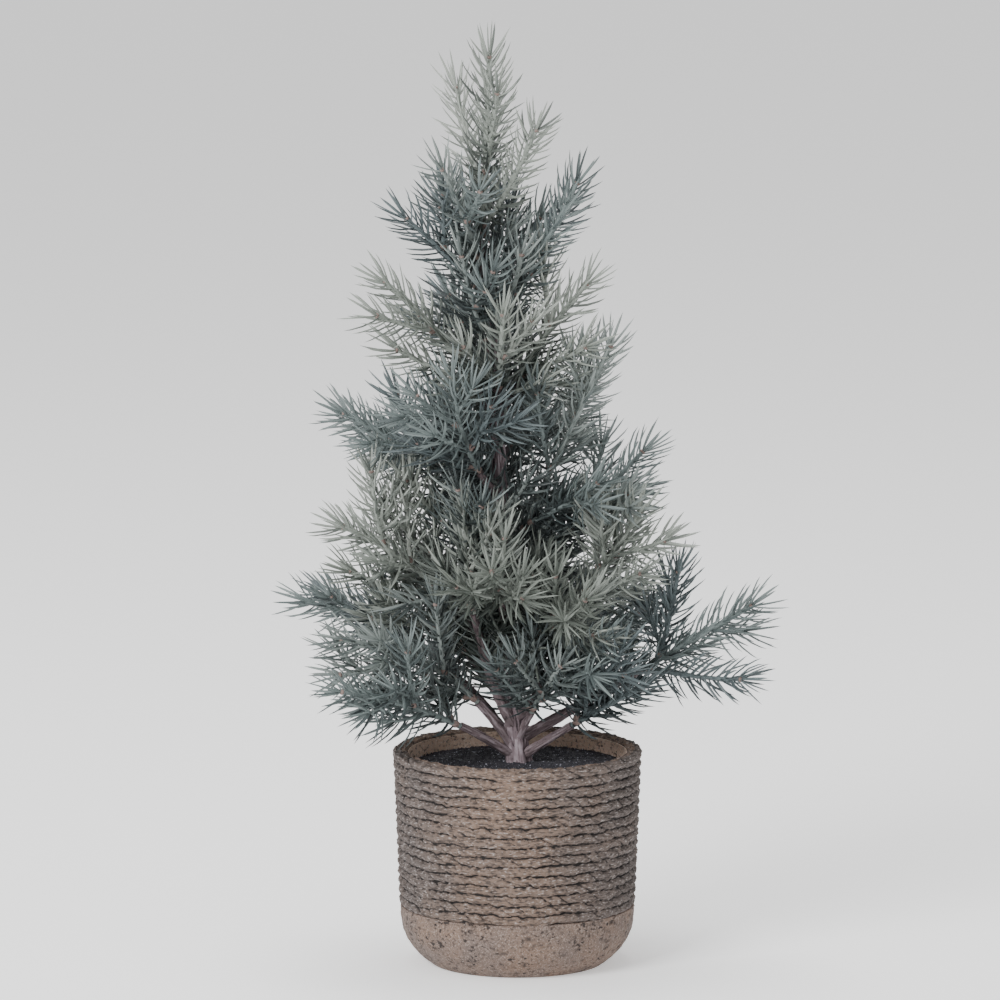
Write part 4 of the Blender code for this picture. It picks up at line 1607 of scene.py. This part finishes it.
@dataclass
class RopeWall:
    """The pot's wall: rows of cast rope up to a rough rim."""

    rows: int = 16
    bottom: float = POT_FOOT_HEIGHT
    top: float = POT_HEIGHT
    steps: int = 480
    ring_step: float = 0.52 * MM
    groove: float = 2.0 * MM
    depth_share: float = 0.95
    wear: float = 0.5
    wear_waves: float = 60
    notch: float = 1.0 * MM
    notch_width: float = 0.09
    faintest_notch: float = 0.25
    strands: int = 36
    strand_steps: int = 7
    strand_shift: float = 0.37
    slant: float = 0.85
    sway: float = 0.35
    sway_waves: float = 90
    wander: float = 0.22
    wander_waves: float = 45
    jitter: float = 0.2
    jitter_waves: float = 260
    fibre: float = 0.5 * MM
    fibre_waves: tuple[float, float] = (3.2, 5)
    rough: float = 0.34 * MM
    grain: Grain = Grain(620, 1300)
    # Weights of the painted shade in the grooves, notches, fibre and grain.
    valley_painted_shade: float = 1.2
    notch_painted_shade: float = 0.8
    fibre_painted_shade: float = 0.22
    rough_painted_shade: float = 0.3
    rim_height: float = 2.4 * MM
    rim_power: float = 0.6
    rim_steps: int = 30
    rim_lump: float = 1.0 * MM
    rim_lumps: float = 9
    highest_lump: float = 0.4
    rim_rough: float = 0.5 * MM
    rim_grain: Grain = Grain(420, 1100)
    inside_rough: float = 0.4 * MM
    inside_slope: float = 0.03
    inside_painted_shade: float = 0.6
    # The warm band faces the front: partly a warm patch, partly painted light that makes the front
    # lighter than the sides.
    warm_painted_light_from: float = math.radians(-96)
    warm_painted_light_width: float = math.radians(34)

    def wall_radius(self, z: float) -> float:
        """Radius over the crests at height z."""
        share = (z - self.bottom) / (self.top - self.bottom)
        return POT_BAND_RADIUS + (POT_RIM_RADIUS - POT_BAND_RADIUS) * share

    def profile(self) -> list[tuple[float, float]]:
        """Half section, up the outside, over the rim and down the inside.

        Returns:
            Its (radius, z) points, closed.
        """
        rim_z = self.top - self.rim_height
        count = round((rim_z - self.bottom) / self.ring_step)
        heights = np.linspace(self.bottom - 1 * MM, rim_z, count)
        points = [(self.wall_radius(z), float(z)) for z in heights]
        middle = (POT_RIM_RADIUS + POT_INNER_RADIUS) / 2
        half = (POT_RIM_RADIUS - POT_INNER_RADIUS) / 2
        for angle in np.linspace(0, math.pi, self.rim_steps)[1:-1]:
            height = rim_z + self.rim_height * math.sin(angle) ** self.rim_power
            points.append((middle + half * math.cos(angle), height))
        inner_z = SOIL_EDGE_Z - 4 * MM
        for z in np.linspace(rim_z, inner_z, 16):
            points.append((POT_INNER_RADIUS - (rim_z - z) * self.inside_slope, float(z)))
        points.append((POT_INNER_RADIUS - 1 * MM, self.bottom))
        points.append(points[0])
        return points

    def relief(self, place: Vector) -> tuple[float, float]:
        """Shape of the rope at a place on the wall.

        Args:
            place: The place, on the smooth wall.

        Returns:
            How far the surface stands in from the crests, and how much painted shade it gets in the
            grooves, notches and low grain, 0 to 1.
        """
        pitch = (self.top - self.bottom) / self.rows
        angle = math.atan2(place.y, place.x) / math.tau
        level = (place.z - self.bottom) / pitch
        level += self.wander * noise.noise(place * self.wander_waves)
        level += self.jitter * noise.noise(place * self.jitter_waves)
        row = min(self.rows - 1, math.floor(level))
        part = min(1.0, level - row)
        wear = self.wear * noise.noise(place * self.wear_waves + Vector((0, 0, 7)))
        worn = self.depth_share + wear
        valley = abs(2 * part - 1) ** 2
        if row == self.rows - 1 and part > 0.5:
            valley = 0.0
        strands = self.strands + (row * 5) % self.strand_steps
        strand = angle * strands + row * self.strand_shift + self.slant * (part - 0.5)
        strand += self.sway * noise.noise(place * self.sway_waves + Vector((row, 0, 0)))
        off = abs(strand - math.floor(strand) - 0.5) * 2
        present = abs(noise.cell(Vector((math.floor(strand), row * 3.0, 1.0))))
        cut = math.exp(-((off / self.notch_width / 2) ** 2))
        cut *= self.faintest_notch + (1 - self.faintest_notch) * present
        across, along = self.fibre_waves
        fibre = noise.noise(Vector((strand * across, part * along, row)))
        rough = self.grain.at(place)
        depth = self.groove * valley * worn + self.notch * cut * (1 - valley)
        depth += self.fibre * fibre + self.rough * rough
        # Painted shade: dark in the grooves between rows, in the notches and in low fibre and
        # grain.
        painted_hollow_shade = valley**3 * worn * self.valley_painted_shade + cut * self.notch_painted_shade
        painted_hollow_shade += self.fibre_painted_shade * fibre + self.rough_painted_shade * rough
        return depth, min(1.0, max(0.0, painted_hollow_shade))

    def build(self) -> None:
        """Builds the wall and moves its surface by the rope's relief."""
        shape = spun(self.profile(), self.steps)
        # Painted shade of the rope and its warm band, kept on the mesh.
        painted_hollow_shade = shape.verts.layers.float.new("painted_hollow_shade")
        warm = shape.verts.layers.float.new("warm")
        rim_z = self.top - self.rim_height
        middle = (POT_RIM_RADIUS + POT_INNER_RADIUS) / 2
        for vert in shape.verts:
            radius = math.hypot(vert.co.x, vert.co.y)
            out = outward(vert.co)
            # Warm band facing the front: partly a warm patch, partly painted light.
            off = (math.atan2(vert.co.y, vert.co.x) - self.warm_painted_light_from) / self.warm_painted_light_width
            vert[warm] = math.exp(-off * off)
            if radius > middle:
                depth, vert[painted_hollow_shade] = self.relief(vert.co)
                vert.co -= out * depth
            if vert.co.z > rim_z - 0.1 * MM:
                lump = noise.noise(Vector((out.x, out.y, radius * 120)) * self.rim_lumps)
                rough = self.rim_grain.at(vert.co)
                lift = min(self.highest_lump, lump)
                vert.co.z += self.rim_lump * lift + self.rim_rough * rough
                # Painted shade in the low spots of the rim.
                vert[painted_hollow_shade] = min(1.0, max(vert[painted_hollow_shade], -0.5 * rough - 0.6 * lump))
            if radius <= middle:
                vert.co += out * self.inside_rough * INSIDE_GRAIN.at(vert.co)
                # Inside the rim: the warm colour and less painted shade.
                vert[warm] = 1.0
                vert[painted_hollow_shade] *= self.inside_painted_shade
        add_piece("pot_rope_wall", mesh_of(shape), ROPE.material(), ["pot"])


@dataclass
class CementFoot:
    """The pot's smooth lower band with its rounded corner and flat underside."""

    base_radius: float = 42 * MM
    height: float = POT_FOOT_HEIGHT
    power: float = 2.8
    flat_share: float = 0.9
    set_back: float = 0.6 * MM
    steps: int = 360
    rings: int = 46
    rough: float = 0.32 * MM
    grain: Grain = Grain(260, 900)
    pit: float = 0.6 * MM
    pit_size: float = 0.4
    pit_edge: float = 9
    pit_waves: float = 165
    pit_squash: float = 1.7
    patch_waves: float = 130
    patch_spread: float = 0.08

    def build(self) -> None:
        """Builds the foot and roughens it."""
        profile = [(0.0, 0.0), (self.base_radius * self.flat_share, 0.0)]
        for z in np.linspace(0, self.height, self.rings):
            share = 1 - (1 - z / self.height) ** self.power
            widening = POT_BAND_RADIUS - self.set_back - self.base_radius
            profile.append((self.base_radius + widening * share, float(z)))
        top = self.height + 1 * MM
        profile += [(POT_BAND_RADIUS - 4 * MM, top), (0.0, top)]
        shape = spun(profile, self.steps)
        pit = shape.verts.layers.float.new("pit")
        for vert in shape.verts:
            if 0.5 * MM < vert.co.z < self.height + 0.5 * MM:
                rough = self.grain.at(vert.co)
                place = Vector((vert.co.x, vert.co.y, vert.co.z * self.pit_squash))
                place = place * self.pit_waves + Vector((3, 0, 0)) * rough * 0.15
                near = noise.voronoi(place)[0][0]
                worn = max(0.0, noise.noise(vert.co * self.patch_waves) + self.patch_spread)
                sunk = min(1.0, max(0.0, self.pit_size - near) * self.pit_edge * worn)
                # The pit value also paints shade into the pits.
                vert[pit] = sunk
                vert.co += outward(vert.co) * (self.rough * rough - self.pit * sunk)
        add_piece("pot_cement_foot", mesh_of(shape), CEMENT.material(), ["pot"])


@dataclass
class Lining:
    """The rough inside of the pot above its filling."""

    steps: int = 240
    thickness: float = 0.6 * MM
    back: float = 0.2 * MM
    below_rim: float = 1.5 * MM
    below_filling: float = 3 * MM
    rough: float = 0.3 * MM

    def build(self) -> None:
        """Builds a thin ring in front of the wall's inner face."""
        top = POT_HEIGHT - self.below_rim
        low = SOIL_EDGE_Z - self.below_filling
        back = POT_INNER_RADIUS - self.back
        profile = [(back, low)]
        for z in np.linspace(low, top, 18):
            profile.append((POT_INNER_RADIUS - self.thickness, float(z)))
        profile += [(back, top), (back, low)]
        shape = spun(profile, self.steps)
        for vert in shape.verts:
            if math.hypot(vert.co.x, vert.co.y) < POT_INNER_RADIUS - self.thickness / 2:
                vert.co += outward(vert.co) * self.rough * INSIDE_GRAIN.at(vert.co)
        add_piece("pot_lining", mesh_of(shape), PAINTED_LIGHT_LINING.material(), ["pot"])


@dataclass
class Filling:
    """The grit in the pot: an uneven bed with loose grains on it."""

    seed: int = 5
    rings: int = 64
    steps: int = 220
    grains: int = 3200
    grain_sizes: tuple[float, float] = (0.35 * MM, 0.75 * MM)
    grain_shape: tuple[float, float] = (0.6, 1.2)
    corner_scatter: tuple[float, float] = (0.85, 1.15)
    depth: float = 20 * MM
    edge_gap: float = 0.8 * MM
    grain_gap: float = 1.5 * MM
    mound: float = 1.2 * MM
    mound_width: float = 9 * MM
    rough: float = 0.45 * MM
    grain: Grain = Grain(260, 800, 0.7)

    def surface(self, radius: float) -> float:
        """Height of the smooth bed, which is heaped against the trunk.

        Args:
            radius: Distance from the axis.

        Returns:
            The height.
        """
        share = min(1.0, radius / POT_INNER_RADIUS)
        mound = self.mound * math.exp(-((radius / self.mound_width) ** 2))
        return SOIL_TOP_Z - (SOIL_TOP_Z - SOIL_EDGE_Z) * share**2 + mound

    def build(self) -> None:
        """Builds the bed and its grains."""
        edge = POT_INNER_RADIUS - self.edge_gap
        profile = [(edge * share, self.surface(edge * share))
                   for share in np.linspace(0, 1, self.rings)]
        profile += [(edge, SOIL_EDGE_Z - self.depth), (0.0, SOIL_EDGE_Z - self.depth)]
        bed = spun(profile, self.steps)
        for vert in bed.verts:
            if vert.co.z > SOIL_EDGE_Z - 1 * MM:
                vert.co.z += self.rough * self.grain.at(vert.co)
        parts = [mesh_of(bed), self.loose_grains()]
        add_piece("filling_grit", joined(parts), GRIT.material(), ["soil"])

    def loose_grains(self) -> bpy.types.Mesh:
        """Scatters small angular grains over the bed.

        Returns:
            One mesh of all grains.
        """
        chance = np.random.default_rng(self.seed)
        grain = bmesh.new()
        bmesh.ops.create_icosphere(grain, subdivisions=1, radius=1)
        unit = np.array([tuple(vert.co) for vert in grain.verts])
        faces = np.array([[vert.index for vert in face.verts] for face in grain.faces])
        grain.free()
        reach = POT_INNER_RADIUS - self.grain_gap
        radius = reach * np.sqrt(chance.uniform(0, 1, self.grains))
        angle = chance.uniform(0, math.tau, self.grains)
        height = np.array([self.surface(value) for value in radius])
        middles = np.stack([radius * np.cos(angle), radius * np.sin(angle), height], axis=1)
        sizes = chance.uniform(*self.grain_sizes, self.grains)[:, None, None]
        shapes = unit[None] * chance.uniform(*self.grain_shape, (self.grains, 1, 3))
        shapes = shapes * chance.uniform(*self.corner_scatter, (self.grains, len(unit), 1))
        points = middles[:, None] + shapes * sizes
        triangles = faces[None] + (np.arange(self.grains) * len(unit))[:, None, None]
        mesh = bpy.data.meshes.new("grains")
        mesh.from_pydata(points.reshape(-1, 3), [], triangles.reshape(-1, 3).tolist())
        return mesh


# ---------------------------------------------------------------- studio


@dataclass(frozen=True)
class Lamp:
    """One soft area light that points at the object."""

    name: str
    place: tuple[float, float, float]
    size: float
    power: float

    def build(self, target: Vector) -> None:
        """Adds the light.

        Args:
            target: Where it points.
        """
        light = bpy.data.lights.new(self.name, "AREA")
        light.size = self.size
        light.energy = self.power
        lamp = placed(self.name, light)
        lamp.location = self.place
        way = target - Vector(self.place)
        lamp.rotation_euler = way.to_track_quat("-Z", "Y").to_euler()


@dataclass
class Studio:
    """Pale floor, soft light and the camera."""

    pixels: int = 1000
    metres_a_pixel: float = 0.48 * MM
    pot_pixel_x: float = 517.5
    ground_pixel_y: float = 963.3
    elevation: float = 9.0
    distance: float = 4.0
    sensor: float = 36.0
    floor_size: float = 60.0
    floor_gap: float = 0.2 * MM
    lit_height: float = 0.25
    sight: float = 200
    sky: float = 0.6
    lamps: tuple[Lamp, ...] = (
        Lamp("key", (-1.3, -1.7, 1.4), 1.0, 62),
        Lamp("fill", (1.5, -1.4, 0.8), 1.2, 5),
        Lamp("top", (-0.1, 0.3, 2.0), 1.0, 26),
    )

    def build(self) -> None:
        """Builds the whole set."""
        self.build_floor()
        target = Vector((0, 0, self.lit_height))
        for lamp in self.lamps:
            lamp.build(target)
        world = bpy.data.worlds.new("pale_studio")
        world.use_nodes = True
        sky = world.node_tree.nodes["Background"]
        sky.inputs["Color"].default_value = (1.0, 1.0, 1.0, 1.0)
        sky.inputs["Strength"].default_value = self.sky
        bpy.context.scene.world = world
        self.build_camera()

    def build_floor(self) -> None:
        """The floor under the pot."""
        shape = bmesh.new()
        bmesh.ops.create_grid(shape, x_segments=1, y_segments=1, size=self.floor_size / 2)
        bmesh.ops.translate(shape, verts=shape.verts, vec=(0, 0, -self.floor_gap))
        mesh = bpy.data.meshes.new("floor")
        shape.to_mesh(mesh)
        shape.free()
        mesh.materials.append(FloorFinish().material())
        placed("floor", mesh)

    def build_camera(self) -> None:
        """The camera, a little above the pot and far off, with a long lens."""
        rise = math.radians(self.elevation)
        across = (self.pixels / 2 - self.pot_pixel_x) * self.metres_a_pixel
        up = (self.ground_pixel_y - self.pixels / 2) * self.metres_a_pixel / math.cos(rise)
        target = Vector((across, 0, up))
        back = Vector((0, -math.cos(rise), math.sin(rise)))
        data = bpy.data.cameras.new("camera")
        data.sensor_width = self.sensor
        data.lens = self.sensor * self.distance / (self.pixels * self.metres_a_pixel)
        data.clip_end = self.sight
        camera = placed("camera", data)
        camera.location = target + back * self.distance
        camera.rotation_euler = (-back).to_track_quat("-Z", "Y").to_euler()
        bpy.context.scene.camera = camera


def main() -> None:
    """Builds the plant, the pot and the studio, in order."""
    logging.basicConfig(level=logging.INFO, format="%(name)s %(message)s")
    skeleton = Skeleton(Trunk())
    skeleton.grow()
    LOG.info("%d stems on %d limbs", len(skeleton.stems), len(LIMBS))
    RopeWall().build()
    CementFoot().build()
    Lining().build()
    Filling().build()
    Wood(skeleton).build()
    Foliage(skeleton).build()
    Studio().build()


if __name__ == "__main__":
    main()
